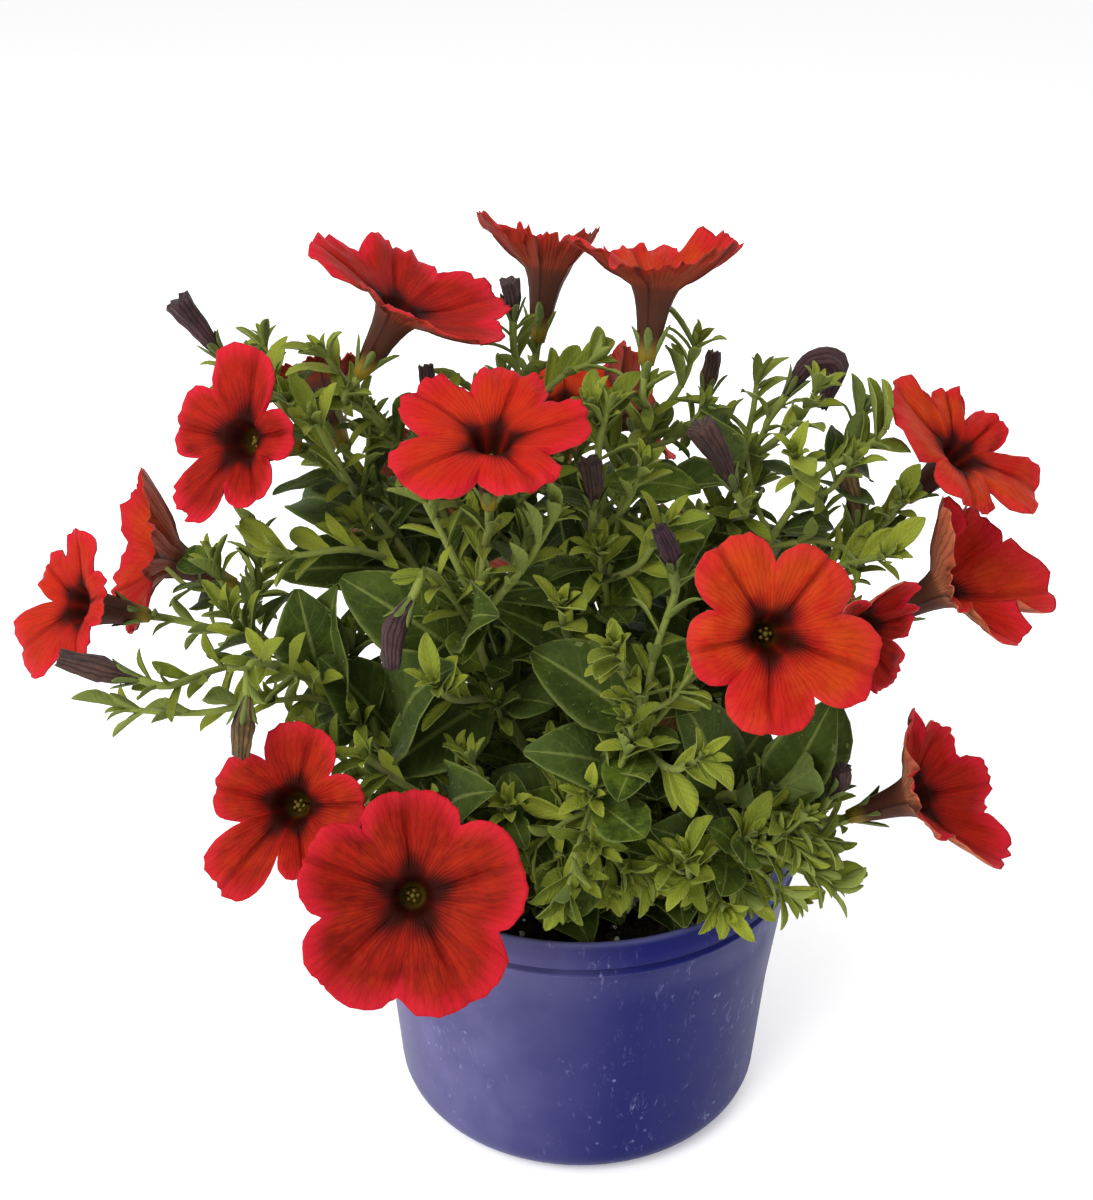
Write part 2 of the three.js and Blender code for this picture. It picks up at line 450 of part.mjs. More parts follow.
// Where a point of the limb lies: share runs from 0 at the throat to 1 at the rim
function limbPoint(bloom, frame, turn, share, reach) {
  const radius = THREE.MathUtils.lerp(THROAT_RADIUS, bloom.radius * reach, share);
  const [fold, foldTurn] = bloom.saddle;
  const foldAngle = 2 * (turn - THREE.MathUtils.degToRad(foldTurn));
  const rim = bloom.cup + petalBend(bloom.petals, turn) + fold * Math.cos(foldAngle);
  const height = rim * share * share - THROAT_DROP * (1 - share) ** 2;
  return frame.throat.clone()
    .addScaledVector(frame.across, radius * Math.cos(turn))
    .addScaledVector(frame.up, radius * Math.sin(turn))
    .addScaledVector(frame.out, height);
}

// The turns of a bloom's petals and of the notches between them, in order round the face
function petalTurns(bloom) {
  const petals = bloom.petals.map(([angle, reach]) => ({ turn: THREE.MathUtils.degToRad(angle), reach }));
  petals.sort((a, b) => a.turn - b.turn);
  return petals.map((petal, i) => {
    const next = petals[(i + 1) % petals.length];
    const nextTurn = next.turn > petal.turn ? next.turn : next.turn + 2 * Math.PI;
    const notchReach = (bloom.notch ?? NOTCH_REACH) * Math.min(petal.reach, next.reach);
    const notch = { turn: (petal.turn + nextTurn) / 2, reach: notchReach };
    return { petal, notch, nextTurn, nextReach: next.reach };
  });
}

// A bloom: a five-lobed limb over a narrowing tube, with the throat sunk into it
function makeBloom(bloom, index) {
  const frame = bloomFrame(bloom);
  const draw = draws(500 + index);
  const rimFront = [];
  const midFront = [];
  const throatFront = [];
  const turns = [];
  for (const { petal, notch, nextTurn, nextReach } of petalTurns(bloom)) {
    const firstShoulder = THREE.MathUtils.lerp(petal.turn, notch.turn, 0.55);
    const lastShoulder = THREE.MathUtils.lerp(notch.turn, nextTurn, 0.45);
    const rim = [
      [petal.turn, 0.985 * petal.reach, 0.4 * bloom.ruffle],
      [firstShoulder, petal.reach, bloom.ruffle * (draw() * 2 - 1)],
      [notch.turn, notch.reach, -0.5 * bloom.ruffle],
      [lastShoulder, nextReach, bloom.ruffle * (draw() * 2 - 1)],
    ];
    for (const [turn, reach, lift] of rim) {
      rimFront.push(limbPoint(bloom, frame, turn, 1, reach).addScaledVector(frame.out, lift));
    }
    for (const [turn, reach] of [[petal.turn, petal.reach], [notch.turn, notch.reach + 0.1]]) {
      midFront.push(limbPoint(bloom, frame, turn, MIDDLE_SHARE, reach));
    }
    throatFront.push(limbPoint(bloom, frame, petal.turn, 0, 1));
    turns.push(petal.turn);
  }
  const back = (ring, depth) => ring.map((p) => p.clone().addScaledVector(frame.out, -depth));
  const tube = (radius, depth) => turns.map((turn) => frame.throat.clone()
    .addScaledVector(frame.across, radius * Math.cos(turn))
    .addScaledVector(frame.up, radius * Math.sin(turn))
    .addScaledVector(frame.out, -depth));
  const deep = frame.throat.clone().addScaledVector(frame.out, -THROAT_DEPTH);
  const root = frame.throat.clone().addScaledVector(frame.out, -TUBE_LENGTH);
  return loft([
    [deep], throatFront, midFront, rimFront, back(rimFront, BLADE + 0.1), back(midFront, BLADE + 0.3),
    tube(THROAT_RADIUS + 1, THROAT_RADIUS), tube(TUBE_MIDDLE_RADIUS, TUBE_MIDDLE),
    tube(TUBE_END_RADIUS, TUBE_LENGTH), [root],
  ]);
}

// A furled spent bloom or bud
function makeSpent({ path, radii }) {
  const run = runThrough(path.map(vec), path.length);
  const first = acrossOf(headingOn(run, 0.5));
  const rings = run.map((centre, i) => {
    const t = i / (run.length - 1);
    const along = headingOn(run, t);
    const across = squareTo(along, first);
    const place = t * (radii.length - 1);
    const before = Math.min(Math.floor(place), radii.length - 2);
    const radius = THREE.MathUtils.lerp(radii[before], radii[before + 1], place - before);
    const third = along.clone().cross(across);
    return ringAround(centre, across, third, SPENT_SIDES, (turn, k) => radius * (k % 2 ? FURL_DEPTH : 1));
  });
  return loft(rings);
}

// The frame of a leaf: root on its stem, direction to its tip, and the way its upper face looks
function leafFrame(root, direction, wish) {
  const along = direction.clone().normalize();
  const up = squareTo(along, wish);
  return { root, along, up, side: along.clone().cross(up) };
}

const leafPoint = (frame, length, along, across, rise) => frame.root.clone()
  .addScaledVector(frame.along, along * length)
  .addScaledVector(frame.side, across)
  .addScaledVector(frame.up, rise);

// Outlines of the three kinds of leaf as [share of the length, share of the half width], and the
// faces between them: the outline runs from the base up the left edge to the tip, then down the right
const OUTLINES = {
  narrow: { edge: [[0.56, 1]], faces: [[0, 1, 3], [1, 2, 3]] },
  oblong: { edge: [[0.34, 0.82], [0.74, 0.9]], faces: [[0, 1, 5], [1, 2, 4], [1, 4, 5], [2, 3, 4]] },
  broad: { edge: [[0.26, 0.8], [0.64, 1]], faces: [[0, 1, 5], [1, 2, 4], [1, 4, 5], [2, 3, 4]] },
};

// A leaf blade: an outline of even thickness, drooping towards its tip.
// start leaves off the part next to the stem, for the test of what the blade would cross.
function leafBlade(frame, { length, width, droop, kind }, start = 0) {
  const { edge, faces } = OUTLINES[kind];
  const half = width / 2;
  const at = (t, across) => leafPoint(frame, length, t, across, BLADE / 2 - droop * length * t * t);
  const left = edge.map(([t, w]) => at(t, half * w));
  const right = edge.map(([t, w]) => at(t, -half * w)).reverse();
  const top = [at(start, 0), ...left, at(1, 0), ...right];
  const under = top.map((p) => p.clone().addScaledVector(frame.up, -BLADE));
  const n = top.length;
  const all = faces.map((face) => face.slice());
  faces.forEach(([a, b, c]) => all.push([a + n, c + n, b + n]));
  top.forEach((point, i) => {
    const j = (i + 1) % n;
    all.push([i, i + n, j + n], [i, j + n, j]);
  });
  return solid(pointsGeometry([...top, ...under], all));
}

// The stalk of a bloom, from its stem to the end of the tube
function bloomStalk(stem, place, end, out) {
  const root = pointOn(stem, place);
  const before = end.clone().addScaledVector(out, -8);
  const middle = root.clone().lerp(before, 0.5).addScaledVector(headingOn(stem, place), 3);
  return runThrough([root, middle, before, end], 3);
}

// A flower stalk that ends in a calyx: narrow pointed sepals round a flat seat for the tube
function calyxStalk(run, out) {
  const rings = stalkRings(run, STALK_RADIUS, STALK_END, SEPALS, true);
  const end = run.at(-1);
  const across = squareTo(out, end.clone().sub(run.at(-2)).cross(out).addScaledVector(acrossOf(out), 0.5));
  const third = out.clone().cross(across);
  const around = (forward, count, radiusAt) => ringAround(
    end.clone().addScaledVector(out, forward), across, third, count, radiusAt,
  );
  const tips = around(SEPAL_REACH, 2 * SEPALS, () => SEPAL_SPREAD);
  const notches = around(-0.2, 2 * SEPALS, () => SEAT_RADIUS + 0.3);
  rings[rings.length - 1] = around(-2.6, SEPALS, () => STALK_END);
  rings.push(tips.map((tip, i) => (i % 2 ? notches[i] : tip)), around(0, SEPALS, () => SEAT_RADIUS));
  return loft(rings);
}

// A leaf wanted at a place on a stem: its share of the way along decides its size and spread
function leafWish(run, place, order, seed, young) {
  const draw = draws(seed);
  const turn = order * GOLDEN_TURN + 6 * draw();
  const length = young ? 11 + 6 * draw() : 17 + 12 * draw();
  const width = young ? 4.2 + 1.6 * draw() : 8 + 5 * draw();
  const spread = young ? 0.55 + 0.5 * draw() : 0.85 + 0.45 * draw();
  const droop = young ? 0.08 * draw() : 0.1 + 0.2 * draw();
  const shape = { length, width, droop, kind: young ? 'narrow' : 'oblong' };
  return { root: pointOn(run, place), along: headingOn(run, place), turn, spread, shape };
}

// Ways to hold a leaf, tried in order until one is clear of everything round it
const TURNS = [0, 0.5, -0.5, 1.05, -1.05, 2.1, -2.1];

function leafChoices({ root, along, turn, spread, shape }) {
  const across = acrossOf(along);
  const third = along.clone().cross(across);
  return TURNS.map((more) => {
    const away = across.clone().multiplyScalar(Math.cos(turn + more));
    away.addScaledVector(third, Math.sin(turn + more));
    const direction = along.clone().multiplyScalar(Math.cos(spread)).addScaledVector(away, Math.sin(spread));
    const wish = new THREE.Vector3(0, 0, 0.8).addScaledVector(along, 0.9);
    return { frame: leafFrame(root, direction, wish), shape };
  });
}

// The largest leaves look up and out from the middle of the plant, more so towards the front, and
// reach a given tip, or one turned a little from it where that is not clear
const OUTLOOK = 80;
const FRONT_TILT = 0.3;
const SHIFTS = [[0, 0, 0], [0, 0, 5], [5, 0, 0], [-5, 0, 0], [0, 5, 0], [0, -5, 0], [0, 0, -5],
  [6, 6, 4], [-6, -6, 4]];

function wideChoices(run, [place, tip, width]) {
  const root = pointOn(run, place);
  return SHIFTS.map((shift) => {
    const direction = vec(tip).add(vec(shift)).sub(root);
    const length = direction.length();
    const wish = new THREE.Vector3(tip[0] / OUTLOOK, tip[1] / OUTLOOK - FRONT_TILT, 1);
    wish.addScaledVector(direction, -0.35 / length);
    const shape = { length, width, droop: 0.12, kind: 'broad' };
    return { frame: leafFrame(root, direction, wish), shape };
  });
}

const boxOf = (piece) => {
  const { min, max } = piece.boundingBox();
  return new THREE.Box3(vec(min), vec(max));
};

// Everything placed so far, with the node that it belongs to
const placed = [];

function place(piece, owner) {
  placed.push({ piece, owner, box: boxOf(piece) });
}

function isClear(piece, others) {
  const box = boxOf(piece).expandByScalar(LEAF_GAP);
  const near = others.filter((other) => box.intersectsBox(other.box));
  return near.every((other) => piece.minGap(other.piece, LEAF_GAP) >= LEAF_GAP);
}

// The first choice that crosses no other node, no other leaf of its own and none of its own wood
function chooseLeaf(choices, owner) {
  const strangers = placed.filter((other) => !other.owner.startsWith(owner));
  const kin = placed.filter((other) => other.owner.startsWith(owner));
  for (const { frame, shape } of choices) {
    const blade = leafBlade(frame, shape);
    const outer = leafBlade(frame, shape, Math.min(0.4, ROOT_ZONE / shape.length));
    if (isClear(blade, strangers) && isClear(outer, kin)) {
      place(outer, `${owner} leaf`);
      return blade;
    }
  }
  return null;
}

// The run of a stem: upright out of the soil, then along its path
function stemRun({ foot, path }) {
  const below = new THREE.Vector3(foot[0], foot[1], SOIL_TOP - ROOT_DEPTH);
  const above = new THREE.Vector3(foot[0], foot[1], SOIL_TOP + 2);
  return [below, ...runThrough([above, ...path.map(vec)], path.length + 1)];
}

// The wood of a stem: its main run, its side shoots, and the stalks of its blooms with their sepals
function stemFrame(name, stem) {
  const run = stemRun(stem);
  const pieces = [loft(stalkRings(run, FOOT_RADIUS, TIP_RADIUS, STEM_SIDES, false))];
  const shoots = stem.sides.map(([at, path]) => (
    runThrough([pointOn(run, at), ...path.map(vec)], path.length)
  ));
  for (const shoot of shoots) {
    pieces.push(loft(stalkRings(shoot, STALK_RADIUS + 0.4, STALK_RADIUS + 0.1, STALK_SIDES, true)));
  }
  for (const [bloomName, at] of stem.blooms) {
    const frame = bloomFrame(BLOOMS[bloomName]);
    const end = frame.throat.clone().addScaledVector(frame.out, -TUBE_LENGTH - CLEARANCE);
    pieces.push(calyxStalk(bloomStalk(run, at, end, frame.out), frame.out));
  }
  for (const [spentName, at] of stem.spent) {
    const { path } = SPENT[spentName];
    const out = vec(path[1]).sub(vec(path[0])).normalize();
    const end = vec(path[0]).addScaledVector(out, -CLEARANCE);
    const stalk = bloomStalk(run, at, end, out);
    pieces.push(loft(stalkRings(stalk, STALK_RADIUS + 0.2, STALK_END, STALK_SIDES, true)));
  }
  pieces.forEach((piece) => place(piece, `${name} wood`));
  return { run, shoots, pieces };
}

// The leaves of a stem: the largest first, then a rule along the stem, then a tuft on each shoot
function stemLeaves(name, stem, number, { run, shoots, pieces }) {
  const wishes = [];
  stem.wide.forEach((leaf) => wishes.push(wideChoices(run, leaf)));
  for (let i = 0; i < stem.leaves; i += 1) {
    const at = THREE.MathUtils.lerp(0.42, 0.99, (i + 0.5) / stem.leaves);
    wishes.push(leafChoices(leafWish(run, at, i, number * 100 + i, i > 0.6 * stem.leaves)));
  }
  shoots.forEach((shoot, s) => {
    for (let i = 0; i < TUFT_LEAVES; i += 1) {
      const at = THREE.MathUtils.lerp(0.45, 0.98, i / (TUFT_LEAVES - 1));
      wishes.push(leafChoices(leafWish(shoot, at, i, number * 100 + 30 + 10 * s + i, true)));
    }
  });
  for (const choices of wishes) {
    const blade = chooseLeaf(choices, name);
    if (blade) pieces.push(blade);
  }
}

function meshOf(name, piece, material) {
  const { vertProperties, triVerts } = piece.getMesh();
  const geometry = new THREE.BufferGeometry();
  geometry.setAttribute('position', new THREE.BufferAttribute(Float32Array.from(vertProperties), 3));
  geometry.setIndex(Array.from(triVerts));
  geometry.computeVertexNormals();
  const mesh = new THREE.Mesh(geometry, material);
  mesh.name = name;
  return mesh;
}

const MATERIALS = {
  pot: new THREE.MeshStandardMaterial({ color: 0x2a2a86, roughness: 0.4, metalness: 0 }),
  soil: new THREE.MeshStandardMaterial({ color: 0x1d1713, roughness: 0.95, metalness: 0 }),
  leaf: new THREE.MeshStandardMaterial({ color: 0x4d6b2c, roughness: 0.75, metalness: 0 }),
  petal: new THREE.MeshStandardMaterial({ color: 0xc9281e, roughness: 0.6, metalness: 0 }),
  spent: new THREE.MeshStandardMaterial({ color: 0x35202c, roughness: 0.7, metalness: 0 }),
};

const plant = new THREE.Group();
const pot = makePot();
const soil = makeSoil();
place(pot, 'pot');
place(soil, 'soil');
plant.add(meshOf('pot', pot, MATERIALS.pot), meshOf('soil', soil, MATERIALS.soil));

Object.entries(BLOOMS).forEach(([name, bloom], index) => {
  const piece = makeBloom(bloom, index);
  place(piece, name);
  plant.add(meshOf(name, piece, MATERIALS.petal));
});
for (const [name, spent] of Object.entries(SPENT)) {
  const piece = makeSpent(spent);
  place(piece, name);
  plant.add(meshOf(name, piece, MATERIALS.spent));
}
const frames = Object.entries(STEMS).map(([name, stem]) => stemFrame(name, stem));
Object.entries(STEMS).forEach(([name, stem], number) => {
  stemLeaves(name, stem, number, frames[number]);
  plant.add(meshOf(name, wasm.Manifold.union(frames[number].pieces), MATERIALS.leaf));
});

export default plant;
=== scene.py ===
"""Dresses a potted petchoa: a blue pot of soil with a bushy plant of leafy stems and red trumpet blooms."""
import json
import math
import random
from collections import namedtuple

import bmesh
import bpy
from bpy.props import FloatProperty, FloatVectorProperty, IntProperty, PointerProperty
from mathutils import Matrix, Vector, noise
from mathutils.bvhtree import BVHTree
from mathutils.kdtree import KDTree

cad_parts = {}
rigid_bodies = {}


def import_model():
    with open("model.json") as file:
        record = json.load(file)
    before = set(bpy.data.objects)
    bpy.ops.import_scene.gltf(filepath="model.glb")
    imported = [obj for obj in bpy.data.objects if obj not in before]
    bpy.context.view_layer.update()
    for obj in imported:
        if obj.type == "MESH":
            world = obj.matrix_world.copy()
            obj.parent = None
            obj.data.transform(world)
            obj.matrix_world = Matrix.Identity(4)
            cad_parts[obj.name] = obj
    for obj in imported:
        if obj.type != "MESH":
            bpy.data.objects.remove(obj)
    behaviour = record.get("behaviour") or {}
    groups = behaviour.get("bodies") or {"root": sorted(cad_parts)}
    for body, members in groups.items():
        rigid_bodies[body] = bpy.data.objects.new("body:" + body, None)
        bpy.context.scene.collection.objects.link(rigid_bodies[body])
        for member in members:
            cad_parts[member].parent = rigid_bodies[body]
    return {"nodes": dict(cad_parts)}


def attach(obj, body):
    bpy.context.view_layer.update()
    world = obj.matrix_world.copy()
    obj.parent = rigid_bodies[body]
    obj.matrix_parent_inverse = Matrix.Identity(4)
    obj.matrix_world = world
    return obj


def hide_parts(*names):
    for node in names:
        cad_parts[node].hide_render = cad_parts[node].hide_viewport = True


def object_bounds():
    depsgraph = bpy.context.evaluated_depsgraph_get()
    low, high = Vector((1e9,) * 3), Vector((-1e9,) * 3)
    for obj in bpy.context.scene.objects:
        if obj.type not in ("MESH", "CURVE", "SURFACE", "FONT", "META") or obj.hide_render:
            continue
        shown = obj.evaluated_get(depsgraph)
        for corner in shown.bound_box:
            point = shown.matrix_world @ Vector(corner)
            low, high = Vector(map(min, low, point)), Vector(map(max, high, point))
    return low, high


bl_info = {
    "name": "Potted Petchoa",
    "version": (1, 0, 0),
    "blender": (4, 5, 0),
    "location": "3D View > Sidebar > Petchoa",
    "description": "Makes the finish of a potted petchoa: pot, soil, leafy stems, blooms and spent blooms",
    "category": "Object",
}

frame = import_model()
CAD_LOW, CAD_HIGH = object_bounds()

MM = 0.001
GOLDEN_TURN = math.radians(137.5)
FIFTH_TURN = 1.257

# Sizes of the solids that the finer pieces follow, in millimetres
RIM_RADIUS = 65
LIP_RADIUS = 62.1
POT_HEIGHT = 91
GROOVE_HEIGHT = 83.4
WAIST_RADIUS = 58.6
WAIST_HEIGHT = 42
BASE_RADIUS = 56
BASE_CORNER = 9
FLOOR = 2.2
WALL = 1.7
DRAIN_COUNT = 4
DRAIN_RADIUS = 3.6
DRAIN_CIRCLE = 34
SOIL_TOP = 81
SOIL_WAVE = 1.1
ROOT_DEPTH = 20
FOOT_RADIUS = 2.0
TIP_RADIUS = 1.15
STALK_RADIUS = 0.8
STALK_END = 1.5
ROUND_SHARE = 0.82
BLADE = 0.72
THROAT_RADIUS = 5.4
TUBE_LENGTH = 25
STALK_GAP = 0.3
BEND_EASE = 6
OUTLOOK = 80
FRONT_TILT = 0.3
THROAT_DROP = 3.2
TUFT_LEAVES = 3
PETALS = 5

# How far further leaves stay inside the solids' box, and how near a leaf's tip has to be to a corner of
# its solid, in metres
BOX_MARGIN = 0.002
SAME_CORNER = 2e-5

# Limits of the further growth, in millimetres: the space kept free before a bloom and how it narrows, the
# reach of a low stem, the height below which leaves dry, and the length from which they are broad
VIEW_DEPTH = 34
VIEW_TAPER = 90
LOW_STEM = 155
DRY_BELOW = 150
BROAD_LENGTH = 20

# Small pieces, in millimetres
HAIR_RADIUS = 0.045
HAIR_LENGTH = 1.0
STIGMA_RADIUS = 0.75
STIGMA_DEPTH = 8.6
ANTHER_RADIUS = 0.5
ANTHER_DEPTH = 9.2
ANTHER_RING = 1.3
STYLE_DEPTH = 12.5
STYLE_LENGTH = 8.5
FOOT_THICKNESS = 0.75

# Counts of faces, and the seeds of what is drawn by chance
STEM_SIDES = 8
SURFACE_RINGS = 26
TUFT_SEED = 30
RUFFLE_SEED = 500
SPENT_SEED = 900

# Open blooms in the order of their numbers: the mouth of the tube, where it looks (degrees from the
# front towards +X, degrees up), the radius, how far the whole rim is lifted, the fold of the rim as
# (depth, degrees of its line), the waves of the edge, how far out the gaps between the petals lie, and
# the five petals as (degrees seen from in front, share of the radius, bend forward at the rim)
Bloom = namedtuple("Bloom", "throat face radius cup saddle ruffle notch petals")
EVEN = ((90, 1, 0), (18, 1, 0), (-54, 1, 0), (-126, 1, 0), (162, 1, 0))
BLOOM_ROWS = (
    ((-43, -84, 122), (5, 34), 28.5, 0, (1, 0), 0.9, 0.8,
     ((92, 0.93, 0), (14, 1.0, 1), (-64, 1.06, -1), (-138, 1.08, 0), (157, 1.0, 1))),
    ((-76, -62, 134), (-12, 30), 22, 1, (1.5, 60), 1.0, 0.66,
     ((76, 1.0, 0), (8, 0.94, -1), (-66, 0.84, 1), (-124, 1.26, -2), (172, 0.92, 0))),
    ((-23, -45, 230), (8, 70), 24.5, -1, (0, 0), 1.4, 0.68,
     ((66, 0.98, 0), (6, 0.98, 1), (-66, 0.9, -1), (-152, 1.08, -3), (138, 0.98, 1))),
    ((43, -78, 192), (8, 26), 23.6, -1, (1.5, 120), 1.0, 0.74,
     ((120, 1.06, 0), (50, 0.96, 1), (-24, 1.12, -1), (-96, 1.0, 0), (-172, 0.86, -2))),
    ((-46, 0, 249), (84, 58), 27, 0, (0, 0), 1.2, 0.8,
     ((92, 1.04, -1), (25, 0.9, 2), (-48, 1.0, 8), (-118, 1.0, 6), (165, 0.7, 1))),
    ((-9, 44, 249), (150, 74), 16, 4, (0, 0), 2.0, 0.8,
     ((100, 0.8, 0), (36, 1.35, 3), (-36, 0.9, 0), (-110, 0.85, 2), (172, 0.85, 3))),
    ((19, 6, 255), (150, 78), 23.5, 0, (0, 0), 1.8, 0.8,
     ((100, 0.85, 0), (30, 1.02, 5), (-44, 0.9, 2), (-118, 0.92, 9), (174, 0.92, 8))),
    ((-89, -25, 220), (-34, 22), 21.5, 0, (2, 90), 1.2, 0.62,
     ((80, 1.12, 0), (18, 0.84, -1), (-48, 0.86, 1), (-116, 1.12, 0), (-178, 0.98, 0))),
    ((-138, -20, 171), (-50, 26), 21, -1, (0, 0), 1.2, 0.66,
     ((104, 0.96, 1), (28, 0.8, 0), (-50, 0.8, -1), (-132, 1.34, -1), (164, 0.95, -1))),
    ((-123, 19, 168), (-78, 30), 21.5, 8, (0, 0), 1.3, 0.68,
     ((88, 1.0, 5), (20, 0.9, -5), (-46, 1.16, -10), (-114, 1.12, -4), (160, 1.05, 1))),
    ((-78, 45, 211), (-150, 34), 14, 0, (1.5, 0), 1.2, 0.8, EVEN),
    ((17, 42, 205), (110, 20), 19, 0, (2, 90), 1.2, 0.8, EVEN),
    ((-4, 76, 195), (0, 70), 19.5, 1, (1.5, 30), 1.0, 0.8, EVEN),
    ((104, 4, 206), (48, 50), 22.5, -1, (0, 0), 1.8, 0.62,
     ((114, 1.2, 1), (60, 0.9, 0), (8, 0.92, 1), (-44, 1.26, -3), (-125, 0.85, -2))),
    ((104, -3, 170), (74, 38), 21.5, 0, (0, 0), 1.5, 0.6,
     ((98, 1.08, 10), (46, 0.85, 11), (-52, 1.34, 16), (-110, 1.1, 5), (178, 0.7, 0))),
    ((75, -30, 166), (30, 2), 18.5, 0, (0, 0), 1.2, 0.7,
     ((76, 1.02, 8), (14, 0.82, 0), (-58, 1.0, -1), (-128, 0.9, 2), (142, 1.05, 5))),
    ((92, -45, 128), (66, 34), 22, 6, (0, 0), 1.6, 0.74,
     ((98, 1.04, 1), (34, 0.85, -1), (-32, 1.0, 1), (-96, 1.14, 3), (168, 0.9, -3))),
    ((-20, 108, 164), (178, 38), 24, 0, (1.5, 20), 1.3, 0.8, EVEN),
    ((-62, 92, 158), (-140, 30), 25, -1, (2, 90), 1.2, 0.8,
     ((86, 1.0, 0), (14, 1.04, 0), (-58, 0.95, 0), (-130, 1.06, 0), (160, 0.96, 0))),
    ((72, 72, 134), (130, 22), 22, 0, (2, 0), 1.4, 0.8, EVEN),
    ((-42, 108, 130), (-166, 22), 26, -1, (1.5, 60), 1.1, 0.8,
     ((94, 1.02, 0), (22, 0.96, 0), (-50, 1.0, 0), (-128, 1.02, 0), (164, 0.98, 0))),
    ((34, 106, 126), (160, 25), 22, 1, (2, 100), 1.5, 0.8, EVEN),
)
BLOOMS = {f"bloom_{number:02d}": Bloom(*row) for number, row in enumerate(BLOOM_ROWS, 1)}

# How the blooms differ in colour, as (warmth, shade, bleach) in the order of their numbers: warmth runs
# from crimson to orange, shade is how dark the face is, partly the bloom's own deeper red and partly painted
# shade on under-lit or shadowed blooms, and bleach how pale the outside has become
TINTS = ((0.4, 0.85, 0.3), (0.55, 0.65, 0.3), (0.3, 0.1, 0.3), (0.95, 0.3, 0.9), (0.05, 0.6, 0.1),
         (0.5, 0.5, 0.1), (0.7, 0.25, 0.15), (0.1, 0.75, 0.3), (0.25, 0.25, 0.3), (0.6, 0.3, 0.35),
         (0.9, 0.4, 0.2), (0.8, 0.1, 0.3), (0.75, 0.1, 0.3), (0.85, 0.3, 0.2), (0.6, 0.35, 0.9),
         (0.0, 0.85, 1.0), (0.1, 0.6, 0.9))
PLAIN_TINT = (0.4, 0.35, 0.4)

# Spent blooms and buds in the order of their numbers: the path of the furled tube, and its radius at each
# point of the path
SPENT_ROWS = (
    (((-94, -3, 234), (-99, -4, 242), (-104, -5, 250)), (1.3, 2.4, 3.3)),
    (((56, 16, 217), (62, 17, 226), (69, 18, 225), (66, 16, 213)), (1.3, 3.0, 3.6, 1.2)),
    (((40, -10, 200), (36, -11, 209), (30, -12, 219)), (1.4, 2.6, 3.8)),
    (((-115, -45, 162), (-124, -46, 165), (-134, -47, 169)), (1.3, 3.2, 2.2)),
    (((-85, -56, 163), (-86, -59, 156), (-87, -60, 148)), (1.3, 2.8, 2.0)),
    (((-44, -44, 184), (-48, -48, 178), (-49, -50, 168)), (1.3, 2.9, 2.0)),
    (((75, -2, 186), (74, -2, 193), (71, -1, 201)), (1.2, 1.8, 3.0)),
    (((22, -38, 190), (21, -40, 196), (18, -42, 203)), (1.3, 2.6, 1.8)),
    (((2, -24, 201), (2, -26, 208), (1, -27, 215)), (1.2, 2.3, 2.8)),
    (((-19, 22, 237), (-19, 21, 242), (-20, 20, 248)), (1.2, 2.0, 2.6)),
    (((-42, 27, 208), (-43, 28, 214), (-44, 30, 221)), (1.2, 2.2, 2.0)),
    (((35, 28, 212), (36, 29, 218), (37, 30, 225)), (1.2, 2.4, 1.8)),
    (((13, -52, 101), (12, -50, 97), (9, -50, 92)), (1.3, 3.0, 2.2)),
    (((65, -50, 130), (67, -51, 134), (67, -51, 139)), (1.2, 2.0, 2.4)),
)
SPENT = {f"spent_{number:02d}": row for number, row in enumerate(SPENT_ROWS, 1)}
OLD_SPENT = ("spent_05", "spent_07")

